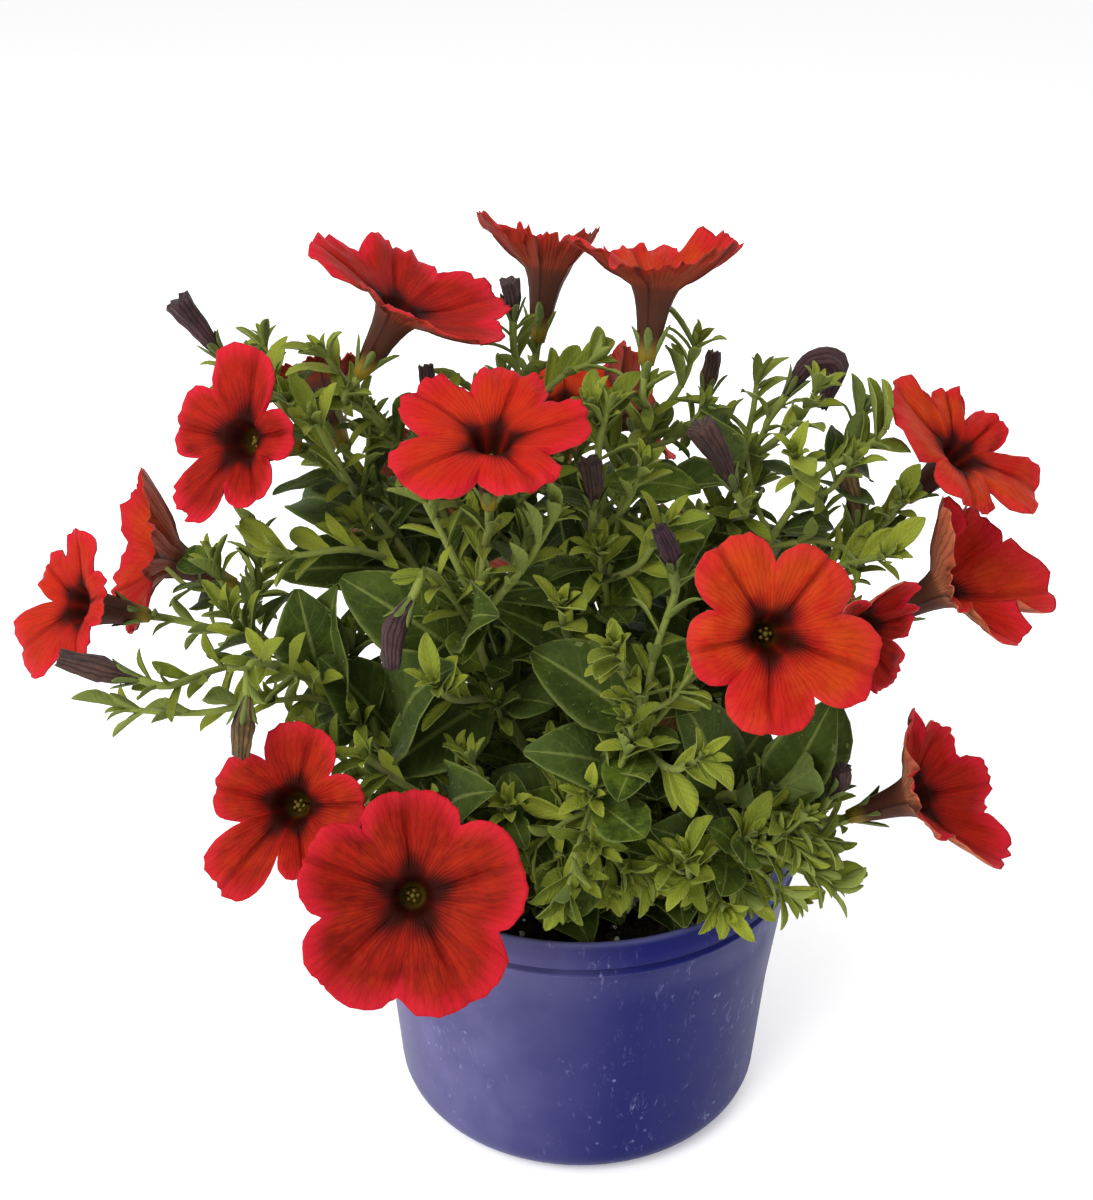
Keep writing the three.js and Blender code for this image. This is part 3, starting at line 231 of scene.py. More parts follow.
# Leafy stems: foot is where each leaves the soil, path its run above the soil, leaves how many leaves
# stand along it by rule, sides its short side shoots as (place on the stem, path), blooms and spent what
# it carries with the place on the stem where the stalk begins, wide its largest leaves as (place on the
# stem, tip, width), and showing the large leaves that stand out from the front, each with its tint
Stem = namedtuple("Stem", "foot path leaves sides wide blooms spent showing", defaults=((), (), ()))
STEMS = {
    "stem_front_left": Stem(
        foot=(-16, -15), leaves=2, path=((-24, -27, 102), (-38, -36, 117), (-54, -40, 126)),
        sides=((0.62, ((-47, -46, 130), (-56, -52, 142))), (0.9, ((-60, -42, 132), (-70, -44, 145)))),
        wide=((0.45, (-60, -46, 160), 21), (0.5, (-60, -22, 112), 17), (0.7, (-36, -66, 142), 14)),
        blooms=(("bloom_01", 0.6), ("bloom_02", 0.82))),
    "stem_left_low": Stem(
        foot=(-21, -4), leaves=3,
        path=((-34, -12, 104), (-52, -20, 130), (-69, -22, 146), (-88, -12, 156), (-99, -1, 164),
         (-104, 2, 178)), sides=((0.62, ((-85, -36, 151), (-101, -42, 150), (-121, -40, 150))),
         (0.5, ((-72, -34, 150), (-80, -46, 156))), (0.78, ((-90, -4, 168), (-90, 0, 180)))),
        wide=((0.5, (-71, -28, 176), 14), (0.4, (-44, -52, 168), 20), (0.45, (-84, -10, 132), 18),
         (0.3, (-62, 4, 118), 18)), blooms=(("bloom_10", 0.74), ("bloom_09", 0.66)),
        spent=(("spent_04", 0.64), ("spent_05", 0.56)),
        showing=((0.58, (-75, -27, 176), 20, 0.05), (0.42, (-69, -28, 158), 20, 0.0))),
    "stem_left_high": Stem(
        foot=(-12, 4), leaves=4,
        path=((-20, 6, 110), (-36, 4, 150), (-52, 5, 178), (-67, 8, 197), (-79, 12, 213), (-89, 8, 226)),
        sides=((0.66, ((-64, -8, 204), (-69, -18, 222))), (0.5, ((-60, -14, 184), (-78, -25, 187))),
         (0.82, ((-84, 22, 212), (-94, 30, 220)))),
        wide=((0.45, (-74, -6, 176), 19), (0.38, (-68, 22, 168), 19), (0.6, (-84, 30, 184), 15)),
        blooms=(("bloom_08", 0.72),), spent=(("spent_01", 0.95),),
        showing=((0.51, (-84, -4, 173), 19, 0.0), (0.43, (-66, -6, 160), 16, 0.1))),
    "stem_left_top": Stem(
        foot=(-9, 13), leaves=3, path=((-16, 14, 112), (-31, 15, 160), (-44, 14, 193), (-55, 10, 211)),
        sides=((0.9, ((-62, 6, 222), (-68, 2, 233))), (0.62, ((-30, 2, 184), (-38, -8, 202)))),
        wide=((0.5, (-60, 34, 184), 18), (0.42, (-14, -2, 176), 18)),
        blooms=(("bloom_05", 0.95), ("bloom_11", 0.72)), spent=(("spent_11", 0.78),)),
    "stem_middle_top": Stem(
        foot=(-2, 20), leaves=3, path=((-3, 20, 116), (-13, 19, 165), (-20, 20, 195), (-16, 24, 213)),
        sides=((0.75, ((-26, 32, 200), (-30, 42, 208))), (0.95, ((-6, 22, 220), (2, 22, 224)))),
        wide=((0.6, (-38, 36, 196), 16), (0.5, (12, 34, 172), 18), (0.42, (-38, 36, 158), 18)),
        blooms=(("bloom_06", 0.92),), spent=(("spent_10", 0.9),)),
    "stem_middle_right": Stem(
        foot=(6, 11), leaves=3, path=((6, 11, 116), (8, 9, 160), (13, 10, 195), (20, 11, 213)),
        sides=((0.95, ((27, 12, 222), (30, 12, 232))), (0.8, ((6, 2, 208), (2, -4, 220)))),
        wide=((0.7, (38, -6, 206), 12), (0.55, (-6, 28, 194), 15), (0.45, (32, 20, 158), 18)),
        blooms=(("bloom_07", 0.9),), spent=(("spent_12", 0.88),)),
    "stem_right_top": Stem(
        foot=(15, 6), leaves=3, path=((20, 7, 116), (30, 10, 155), (40, 13, 184), (49, 15, 203)),
        sides=((0.85, ((48, 26, 206), (50, 34, 214))), (0.95, ((58, 8, 212), (62, 4, 222)))),
        wide=((0.85, (36, 4, 219), 10), (0.5, (58, 30, 172), 18), (0.6, (30, -16, 188), 16)),
        spent=(("spent_02", 0.95), ("spent_03", 0.72))),
    "stem_right_high": Stem(
        foot=(22, -2), leaves=3,
        path=((28, -2, 112), (38, -1, 150), (49, 0, 175), (62, 1, 197), (73, 0, 207)),
        sides=((0.8, ((56, -12, 204), (54, -20, 213))), (0.97, ((76, -2, 209), (80, -3, 214)))),
        wide=((0.5, (58, -22, 176), 15), (0.4, (66, 16, 168), 17)), spent=(("spent_07", 0.68),),
        showing=((0.4, (19, -12, 165), 18, -0.02),)),
    "stem_right_mid": Stem(
        foot=(25, -12), leaves=3,
        path=((33, -12, 106), (44, -7, 138), (56, 3, 160), (70, 8, 172), (80, 12, 180)),
        sides=((0.75, ((72, -6, 176), (80, -14, 182))), (0.9, ((84, 4, 184), (86, -4, 194)))),
        wide=((0.45, (44, -36, 168), 17), (0.55, (76, 14, 148), 14)),
        blooms=(("bloom_15", 0.66), ("bloom_16", 0.54), ("bloom_14", 0.95))),
    "stem_right_low": Stem(
        foot=(15, -21), leaves=3, path=((24, -31, 106), (38, -41, 124), (51, -43, 121), (60, -38, 115)),
        sides=((0.6, ((52, -54, 124), (60, -58, 120))),),
        wide=((0.75, (69, -40, 149), 17), (0.55, (30, -52, 156), 16), (0.8, (70, -50, 103), 9),
         (0.45, (52, -22, 134), 18)), blooms=(("bloom_17", 0.85),), spent=(("spent_14", 0.7),),
        showing=((0.8, (63, -50, 158), 17, 0.0),)),
    "stem_front_right": Stem(
        foot=(7, -14), leaves=3, path=((11, -27, 106), (15, -41, 130), (15, -50, 150), (12, -56, 166)),
        sides=((0.95, ((9, -58, 172), (7, -64, 180))), (0.7, ((22, -60, 144), (28, -68, 152)))),
        wide=((0.6, (-8, -66, 154), 14), (0.5, (40, -48, 128), 19), (0.8, (-12, -48, 172), 15)),
        blooms=(("bloom_04", 0.75),), spent=(("spent_08", 0.85),),
        showing=((0.74, (-8, -54, 139), 19, 0.1),)),
    "stem_front_middle": Stem(
        foot=(-2, -22), leaves=2, path=((-2, -32, 102), (0, -44, 118), (2, -56, 131), (1, -64, 139)),
        sides=((0.5, ((12, -50, 112), (17, -58, 108))),),
        wide=((0.6, (-12, -62, 100), 18), (0.5, (-22, -40, 130), 13)), spent=(("spent_13", 0.4),),
        showing=((0.54, (-6, -52, 90), 19, 0.15),)),
    "stem_front_high": Stem(
        foot=(-9, -6), leaves=3,
        path=((-12, -12, 110), (-21, -23, 140), (-28, -29, 165), (-27, -31, 184)),
        sides=((0.62, ((-34, -42, 154), (-38, -52, 164))), (0.9, ((-36, -26, 192), (-42, -24, 204))),
         (0.85, ((-16, -34, 188), (-8, -34, 202)))),
        wide=((0.6, (-46, -64, 152), 22), (0.8, (-30, -58, 190), 13), (0.7, (-60, -34, 184), 16)),
        blooms=(("bloom_03", 0.97),), spent=(("spent_06", 0.8),),
        showing=((0.63, (-52, -38, 131), 24, -0.02),)),
    "stem_front_low": Stem(
        foot=(-10, -28), leaves=3, path=((-14, -38, 104), (-18, -50, 120), (-20, -60, 133)),
        sides=((0.55, ((-6, -56, 112), (-2, -66, 116))),), wide=((0.6, (-34, -58, 118), 12),)),
    "stem_middle": Stem(
        foot=(3, -4), leaves=4, path=((5, -8, 112), (8, -14, 150), (5, -17, 182), (3, -12, 204)),
        sides=((0.75, ((14, -28, 186), (20, -34, 200))), (0.6, ((-4, -34, 168), (-6, -44, 182))),
         (0.97, ((4, -8, 212), (6, -6, 220)))),
        wide=((0.7, (28, -28, 199), 13), (0.55, (-22, -34, 178), 16), (0.5, (32, -30, 162), 17)),
        spent=(("spent_09", 0.85),),
        showing=((0.73, (-23, -28, 179), 14, -0.2), (0.99, (30, -18, 204), 10, 0.2))),
    "stem_right_front": Stem(
        foot=(23, -25), leaves=3, path=((30, -38, 102), (37, -53, 114), (44, -62, 126)),
        sides=((0.6, ((28, -62, 112), (26, -68, 122))), (0.75, ((56, -58, 112), (64, -60, 108)))),
        wide=((0.55, (18, -64, 128), 12),)),
    "stem_back_middle": Stem(
        foot=(5, 27), leaves=4, path=((4, 36, 110), (0, 48, 140), (-5, 60, 160), (-12, 70, 174)),
        sides=((0.72, ((12, 68, 164), (20, 76, 176))),),
        wide=((0.5, (-32, 62, 158), 19), (0.55, (28, 58, 156), 18), (0.7, (6, 88, 172), 15)),
        blooms=(("bloom_18", 0.8), ("bloom_13", 0.8), ("bloom_12", 0.62))),
    "stem_back_left": Stem(
        foot=(-17, 17), leaves=3, path=((-28, 30, 112), (-42, 46, 138), (-52, 56, 155), (-60, 62, 168)),
        sides=((0.7, ((-34, 66, 160), (-30, 74, 172))), (0.92, ((-70, 58, 174), (-78, 56, 184)))),
        wide=((0.45, (-30, 62, 142), 19), (0.5, (-76, 28, 136), 18), (0.7, (-48, 60, 186), 15)),
        blooms=(("bloom_19", 0.8),)),
    "stem_back_right": Stem(
        foot=(18, 17), leaves=3, path=((30, 28, 108), (41, 40, 126), (49, 50, 139), (55, 56, 148)),
        sides=((0.7, ((62, 38, 138), (76, 34, 144))), (0.85, ((44, 64, 146), (40, 74, 154)))),
        wide=((0.5, (70, 24, 134), 19), (0.55, (24, 62, 146), 18), (0.8, (62, 72, 162), 15)),
        blooms=(("bloom_20", 0.62),)),
    "stem_back_low_left": Stem(
        foot=(-7, 32), leaves=3, path=((-12, 44, 100), (-22, 62, 112), (-32, 80, 118)),
        sides=((0.6, ((-42, 62, 112), (-58, 70, 116))), (0.8, ((-14, 80, 122), (-8, 88, 132)))),
        wide=((0.6, (-52, 54, 126), 18), (0.7, (-38, 96, 106), 14)), blooms=(("bloom_21", 0.9),)),
    "stem_back_low_right": Stem(
        foot=(17, 29), leaves=3, path=((22, 44, 99), (27, 58, 109), (30, 70, 114)),
        sides=((0.6, ((44, 60, 112), (58, 64, 118))), (0.8, ((16, 76, 118), (6, 84, 128)))),
        wide=((0.55, (58, 46, 104), 18), (0.7, (44, 90, 106), 14)), blooms=(("bloom_22", 0.9),)),
}

# The way that the faces of the showing leaves look
VIEWED = (0, -0.75, 0.8)

# Outlines of the leaf kinds as (share of the length, share of the half width)
OUTLINES = {
    "broad": ((0, 0.1), (0.06, 0.16), (0.15, 0.5), (0.27, 0.82), (0.41, 0.98), (0.55, 1.0), (0.69, 0.93),
              (0.82, 0.72), (0.92, 0.46), (1, 0.12)),
    "oblong": ((0, 0.16), (0.08, 0.22), (0.2, 0.5), (0.34, 0.8), (0.5, 0.98), (0.64, 1.0), (0.78, 0.88),
               (0.89, 0.64), (0.96, 0.4), (1, 0.12)),
    "young": ((0, 0.4), (0.12, 0.5), (0.3, 0.76), (0.47, 0.97), (0.64, 1.0), (0.8, 0.82), (0.92, 0.52),
              (1, 0.14)),
    "sepal": ((0, 0.8), (0.2, 0.72), (0.45, 0.84), (0.68, 1.0), (0.88, 0.74), (1, 0.2)),
}

# Leaf kinds in the order of their prototypes, each as (outline, fold, arch, curl, wave)
LEAF_FORMS = (
    ("broad", 0.26, 0.08, 0.24, 0.14), ("broad", 0.36, 0.09, 0.14, 0.2), ("broad", 0.16, 0.07, 0.34, 0.2),
    ("oblong", 0.22, 0.06, 0.12, 0.08), ("oblong", 0.30, 0.08, 0.16, 0.06),
    ("oblong", 0.12, 0.04, -0.08, 0.12), ("young", 0.26, 0.04, 0.14, 0.06),
    ("young", 0.40, 0.06, -0.10, 0.08), ("young", 0.20, 0.09, 0.22, 0.1),
    ("sepal", 0.22, 0.02, -0.10, 0.0), ("sepal", 0.30, 0.04, 0.06, 0.0),
)
FORMS_OF = {kind: [i for i, form in enumerate(LEAF_FORMS) if form[0] == kind] for kind in OUTLINES}
TINT_OF = {"broad": 0.12, "oblong": 0.3, "young": 0.75}


# Numbers, points and runs

def lerp(a, b, share):
    return a + (b - a) * share


def smooth(low, high, value):
    share = min(max((value - low) / (high - low), 0.0), 1.0)
    return share * share * (3 - 2 * share)


def of_rows(rows, place, eased=False):
    """The value at a place of a table of (place, value): straight between its rows, or level at each"""
    for (x0, y0), (x1, y1) in zip(rows, rows[1:]):
        if place <= x1:
            return lerp(y0, y1, smooth(x0, x1, place) if eased else (place - x0) / (x1 - x0))
    return rows[-1][1]


def draws(seed):
    """Even draws from 0 to 1, the same as the ones that placed the solids' leaves"""
    state = (seed * 2654435 + 977) % 2**32
    count = 0
    while True:
        state = (state * 1664525 + 1013904223) % 2**32
        count += 1
        if count > 2:
            yield state / 2**32


def spiral(turn):
    """The turns of leaves round a stem, from one to the next"""
    while True:
        turn += GOLDEN_TURN
        yield turn


def square_to(direction, wish):
    return (wish - direction * wish.dot(direction)).normalized()


def across_of(along):
    """A level direction across a heading, or +X where the heading is upright"""
    if math.hypot(along.x, along.y) > 0.05:
        return Vector((-along.y, along.x, 0)).normalized()
    return Vector((1, 0, 0))


def beside(along, turn):
    """A direction square to a heading, turned round it from level"""
    across = across_of(along)
    return across * math.cos(turn) + along.cross(across) * math.sin(turn)


def leaning(along, away, spread):
    """A direction that leans away from a heading by an angle"""
    return along * math.cos(spread) + away * math.sin(spread)


def on_curve(points, share):
    """A point of the smooth curve through the points, by its share of the way"""
    last = len(points) - 1
    place = min(max(share, 0.0), 1.0) * last
    i = min(int(place), last - 1)
    w = place - i
    p1, p2 = points[i], points[i + 1]
    p0 = points[i - 1] if i > 0 else 2 * p1 - p2
    p3 = points[i + 2] if i + 2 <= last else 2 * p2 - p1
    t0 = (p2 - p0) / 2
    t1 = (p3 - p1) / 2
    return p1 + t0 * w + (3 * p2 - 3 * p1 - 2 * t0 - t1) * w**2 + (2 * p1 - 2 * p2 + t0 + t1) * w**3


class Run:
    """The middle line of a stem, shoot or stalk: straight pieces as in its solid, and their curve"""

    def __init__(self, points, steps, root=None):
        self.points = [Vector(p) for p in points]
        self.root = Vector(root) if root else None
        self.corners = [on_curve(self.points, i / steps) for i in range(steps + 1)]
        if self.root:
            self.corners.insert(0, self.root)

    def pick(self, share):
        place = share * (len(self.corners) - 1)
        first = min(int(place), len(self.corners) - 2)
        return first, place - first

    def corner_at(self, share):
        first, part = self.pick(share)
        return self.corners[first].lerp(self.corners[first + 1], part)

    def corner_heading(self, share):
        first, _ = self.pick(share)
        return (self.corners[first + 1] - self.corners[first]).normalized()

    def at(self, share):
        """A point of the smooth line"""
        first, part = self.pick(min(max(share, 0.0), 1.0))
        if self.root and first == 0:
            return self.corners[0].lerp(self.corners[1], part)
        skipped = 1 if self.root else 0
        return on_curve(self.points, (first - skipped + part) / (len(self.corners) - 1 - skipped))

    def heading(self, share):
        low, high = max(share - 0.01, 0.0), min(share + 0.01, 1.0)
        return (self.at(high) - self.at(low)).normalized()

    def length(self):
        return sum((b - a).length for a, b in zip(self.corners, self.corners[1:]))


# Node trees

class Wire:
    """A value on its way through a node tree. Sums, products and powers of wires become nodes."""

    def __init__(self, socket):
        self.socket = socket
        self.tree = socket.id_data

    def calc(self, operation, first, second=0.0):
        return node(self.tree, "ShaderNodeMath", {0: first, 1: second}, operation=operation)

    def __add__(self, other):
        return self.calc("ADD", self, other)

    def __sub__(self, other):
        return self.calc("SUBTRACT", self, other)

    def __rsub__(self, other):
        return self.calc("SUBTRACT", other, self)

    def __mul__(self, other):
        return self.calc("MULTIPLY", self, other)

    def __pow__(self, other):
        return self.calc("POWER", self, other)

    def fraction(self):
        return self.calc("FRACT", self)

    def off_middle(self):
        """0 in the middle of a share, 1 at both of its ends"""
        return self.calc("ABSOLUTE", self - 0.5) * 2.0

    def clamped(self):
        """The same value, held between 0 and 1 by the node that makes it"""
        self.socket.node.use_clamp = True
        return self

    def step(self, low, high):
        """0 below low and 1 above high, eased between them"""
        return node(self.tree, "ShaderNodeMapRange", {0: self, 1: low, 2: high},
                    interpolation_type="SMOOTHSTEP")

    def fall(self, low, high):
        """1 below low and 0 above high, eased between them"""
        return 1.0 - self.step(low, high)

    def mix(self, under, over):
        """The first colour, covered by the second where this share is 1"""
        return node(self.tree, "ShaderNodeMix", {0: self, 6: paint(under), 7: paint(over)}, out=2,
                    data_type="RGBA")

    def parts(self):
        """The three numbers of a vector"""
        split = self.tree.nodes.new("ShaderNodeSeparateXYZ")
        self.feed(split.inputs[0])
        return [Wire(output) for output in split.outputs]

    def feed(self, socket):
        self.tree.links.new(self.socket, socket)


def paint(colour):
    return colour if isinstance(colour, Wire) else (*colour, 1)


def set_inputs(made, inputs):
    for key, value in inputs.items():
        if isinstance(value, Wire):
            value.feed(made.inputs[key])
        else:
            made.inputs[key].default_value = value


def node(tree, kind, inputs=None, out=0, **settings):
    """Adds a node, sets or links its inputs by name or number, and gives back one of its outputs"""
    made = tree.nodes.new(kind)
    for key, value in settings.items():
        setattr(made, key, value)
    set_inputs(made, inputs or {})
    return Wire(made.outputs[out])


def speckle(place, scale, detail=3.0, rough=0.55, distortion=0.0):
    """Smooth noise from 0 to 1"""
    inputs = {"Vector": place, "Scale": scale, "Detail": detail, "Roughness": rough, "Distortion": distortion}
    return node(place.tree, "ShaderNodeTexNoise", inputs)


def new_group(name, kind, inputs, outputs):
    """An empty node group with its named inputs and outputs"""
    tree = bpy.data.node_groups.new(name, kind)
    for label, socket_type, default in inputs:
        socket = tree.interface.new_socket(label, in_out="INPUT", socket_type="NodeSocket" + socket_type)
        if default is not None:
            socket.default_value = default
    for label, socket_type in outputs:
        tree.interface.new_socket(label, in_out="OUTPUT", socket_type="NodeSocket" + socket_type)
    given = {socket.name: Wire(socket) for socket in tree.nodes.new("NodeGroupInput").outputs if socket.name}
    return tree, given, tree.nodes.new("NodeGroupOutput").inputs


def vein_lines_group():
    """Thin branching lines where a phase passes a whole number, as the veins of petals and leaves"""
    tree, given, result = new_group("Vein Lines", "ShaderNodeTree", (
        ("Vector", "Vector", None), ("Phase", "Float", 0.0), ("Wander", "Float", 0.5),
        ("Wander Scale", "Float", 300.0), ("Sharpness", "Float", 4.0)), (("Lines", "Float"),))
    drift = (speckle(given["Vector"], given["Wander Scale"], 2.0) - 0.5) * given["Wander"]
    ridge = (given["Phase"] + drift).fraction().off_middle()
    (ridge ** given["Sharpness"]).feed(result["Lines"])
    return tree


def mottle_group():
    """Uneven patches of two sizes, as a share from 0 to 1"""
    tree, given, result = new_group("Mottle", "ShaderNodeTree", (
        ("Vector", "Vector", None), ("Scale", "Float", 60.0), ("Low", "Float", 0.4), ("High", "Float", 0.6)),
        (("Patches", "Float"),))
    coarse = speckle(given["Vector"], given["Scale"], 4.0)
    fine = speckle(given["Vector"], given["Scale"] * 4.3, 2.0)
    (coarse * 0.7 + fine * 0.3).step(given["Low"], given["High"]).feed(result["Patches"])
    return tree


def placed(tree, name, make, inputs):
    """A shared group placed in a material, with the material's own values"""
    made = tree.nodes.new("ShaderNodeGroup")
    made.node_tree = bpy.data.node_groups.get(name) or make()
    set_inputs(made, inputs)
    return Wire(made.outputs[0])


def vein_lines(place, phase, wander, scale, sharpness=3.0):
    return placed(place.tree, "Vein Lines", vein_lines_group, {
        "Vector": place, "Phase": phase, "Wander": wander, "Wander Scale": scale, "Sharpness": sharpness})


def mottle(place, scale, low=0.4, high=0.6):
    return placed(place.tree, "Mottle", mottle_group, {
        "Vector": place, "Scale": scale, "Low": low, "High": high})


def new_material(name, colour):
    """A material, and the place on the object that its patterns read"""
    material = bpy.data.materials.new(name)
    material.use_nodes = True
    material.diffuse_color = (*colour[:3], 1)
    return material, node(material.node_tree, "ShaderNodeTexCoord", out=3)


def finished(material, colour, rough, height=None, strength=0.3, depth=0.0003, gloss=0.14, **plain):
    """Feeds a material's shader its colour, roughness and relief, and sets its plain numbers"""
    tree = material.node_tree
    shader = tree.nodes["Principled BSDF"]
    set_inputs(shader, {"Base Color": paint(colour), "Roughness": rough, "Specular IOR Level": gloss})
    if height is not None:
        set_inputs(shader, {"Normal": node(tree, "ShaderNodeBump", {
            "Height": height, "Strength": strength, "Distance": depth})})
    set_inputs(shader, {key.replace("_", " ").title(): value for key, value in plain.items()})
    return material


def own_map(tree):
    """The two numbers of a piece's own map"""
    return node(tree, "ShaderNodeUVMap", uv_map="UVMap").parts()[:2]


def attribute(tree, name):
    return node(tree, "ShaderNodeAttribute", out="Fac", attribute_name=name)


# Materials

def petal_material(look):
    """The petals' faces: red-orange with a pinker rim that is partly a painted highlight, darker on some
    blooms partly by painted shade, dark midlines and veins, and a dark star in the throat.
    The map's first number counts the petals round the face, its second runs from the tube to the rim."""
    material, place = new_material("petal_face", look.body)
    around, share = own_map(place.tree)
    warmth = attribute(place.tree, "warmth")
    shade = attribute(place.tree, "shade")
    side = (around * PETALS).fraction().off_middle()
    limb = ((share - 0.5) * 2.0).clamped()
    colour = (warmth * mottle(place, 45.0)).mix(look.body, look.warm)
    ray = node(place.tree, "ShaderNodeCombineXYZ", {"X": around * 42.0, "Y": share * 3.0, "Z": warmth * 9.0})
    rays = mottle(ray, 1.0, 0.36, 0.7)
    dusk = mottle(place, 60.0, 0.4, 0.66) * 0.35 + rays * 0.3
    # Painted shade: the bloom's shade darkens its whole face towards the dusk colour, partly its own deeper
    # red, partly painted shade on blooms that are under-lit or in another bloom's shadow
    colour = (shade * (dusk + 0.5) + rays * 0.16).clamped().mix(colour, look.dusk)
    # Pinker rim of the petals: partly their own colour, partly a painted highlight of the velvet's brighter
    # edges
    rose_rim_and_highlight = (limb + side * 0.12).step(0.72, 1.08) * (1.0 - warmth * 0.45)
    colour = rose_rim_and_highlight.mix(colour, look.edge)
    fan = vein_lines(place, around * 75.0, 1.5, 260.0)
    net = vein_lines(place, around * 155.0 + share * 6.0, 3.0, 420.0)
    lines = (fan * 0.55 + net * 0.3).clamped()
    colour = (lines * (0.5 - limb * 0.3)).mix(colour, look.vein)
    midline = side.fall(0.01, 0.1) * (1.0 - limb * 0.45)
    colour = (midline * 0.55).mix(colour, look.vein)
    reach = side ** 0.7 * 0.2 + limb + (lines - 0.4) * -0.14 - shade * 0.1
    colour = (reach.fall(0.06, 0.52) * 0.8).mix(colour, look.vein)
    colour = (reach.fall(0.08, 0.32) * 0.9).mix(colour, look.throat)
    colour = (share.fall(0.32, 0.45) * shade).mix(colour, look.heart)
    velvet = speckle(place, 2600.0, 2.0)
    height = velvet * 0.35 - lines * 0.8 - midline
    return finished(material, colour, velvet * 0.16 + 0.5, height, 0.7, gloss=0.05)


def petal_back_material(look):
    """The outside of a bloom: salmon under the petals, dull brown-purple on the tube, with dark ribs"""
    material, place = new_material("petal_outside", look.outside)
    around, share = own_map(place.tree)
    side = (around * PETALS).fraction().off_middle()
    patches = mottle(place, 80.0)
    bleach = attribute(place.tree, "bleach")
    colour = (bleach * 0.9).mix(look.back, look.outside)
    red = share.step(0.6, 1.0) * (patches * 0.5 + 0.3) * (1.0 - bleach * 0.5)
    colour = red.mix(colour, look.body)
    colour = share.fall(0.3, 0.6).mix(colour, look.tube)
    fan = vein_lines(place, around * 60.0, 1.4, 300.0)
    colour = (fan * 0.55).mix(colour, look.rib)
    rib = side.fall(0.04, 0.2)
    colour = (rib * 0.7).mix(colour, look.rib)
    colour = (share.fall(0.02, 0.16) * 0.6).mix(colour, look.heart)
    return finished(material, colour, 0.62, fan * 0.6 + rib, 0.5)


def leaf_material(look):
    """Leaf blades: felt-covered green with a pale midrib and side veins, a pale rim that is partly hairs and
    partly a painted highlight, paler below, yellower when young, and a painted pale sheen on some broad
    leaves.
    The map's first number runs across the blade, its second from the base to the tip."""
    material, place = new_material("leaf_blade", look.leaf)
    across, share = own_map(place.tree)
    side = across.off_middle()
    tint = attribute(place.tree, "tint")
    under = attribute(place.tree, "under")
    colour = mottle(place, 120.0).mix(look.leaf_dark, look.leaf)
    colour = tint.step(0.35, 1.0).mix(colour, look.leaf_young)
    colour = (tint.fall(0.0, 0.3) * 0.75).mix(colour, look.leaf_grey)
    # Painted highlight: a tint below zero paints a broad leaf with the pale grey-green sheen of a leaf that
    # faces the light
    colour = tint.fall(-0.4, -0.1).mix(colour, look.leaf_painted_sheen)
    colour = tint.step(1.2, 1.4).mix(colour, look.leaf_dry)
    ribs = vein_lines(place, (share - side * 0.3) * 7.0, 0.25, 250.0, 5.0)
    midrib = side.fall(0.015, 0.09)
    # Pale rim of the blade: partly its pale hairs, partly a painted highlight where light catches the edge;
    # stronger on young leaves
    hairy_rim_and_highlight = side.step(0.84, 1.0) * (tint.step(0.3, 0.8) + 1.0)
    pale = ((midrib * 0.34 + ribs * 0.06).clamped() + hairy_rim_and_highlight * 0.28).clamped()
    colour = pale.mix(colour, look.leaf_pale)
    colour = (under * 0.55).mix(colour, look.leaf_under)
    colour = (share.fall(0.0, 0.22) * 0.4).mix(colour, look.leaf_young)
    felt = speckle(place, 3000.0, 2.0)
    quilt = speckle(place, 420.0, 2.0)
    height = felt * 0.35 - ribs * 0.6 + quilt * 2.2 - midrib * 0.9
    return finished(material, colour, felt * 0.2 + 0.5, height, 0.7, gloss=0.08, sheen_weight=0.01)


def stem_material(look):
    """Stems and stalks: yellow-green with purple-brown patches, ribbed along"""
    material, place = new_material("stem_bark", look.stem)
    colour = (mottle(place, 55.0, 0.5, 0.72) * 0.7).mix(look.stem, look.stem_brown)
    fine = speckle(place, 900.0)
    colour = (fine * 0.35).mix(colour, look.leaf_pale)
    return finished(material, colour, 0.62, fine, 0.5, sheen_weight=0.1)


def fuzz_material(look):
    """The short pale hairs on stems and leaf edges"""
    material, place = new_material("fuzz", look.fuzz)
    return finished(material, speckle(place, 200.0).mix(look.fuzz, look.leaf_pale), 0.5)


def spent_material(look):
    """Withered tubes: dark purple to olive-brown, furrowed lengthwise"""
    material, place = new_material("spent_petal", look.withered)
    around, _ = own_map(place.tree)
    colour = attribute(place.tree, "warmth").mix(look.withered, look.withered_tan)
    colour = (mottle(place, 130.0) * 0.5).mix(colour, look.withered_dark)
    furrows = vein_lines(place, around * 14.0, 0.9, 300.0, 2.5)
    colour = (furrows * 0.6).mix(colour, look.withered_dark)
    return finished(material, colour, 0.7, furrows, 0.8, 0.0005, sheen_weight=0.05)


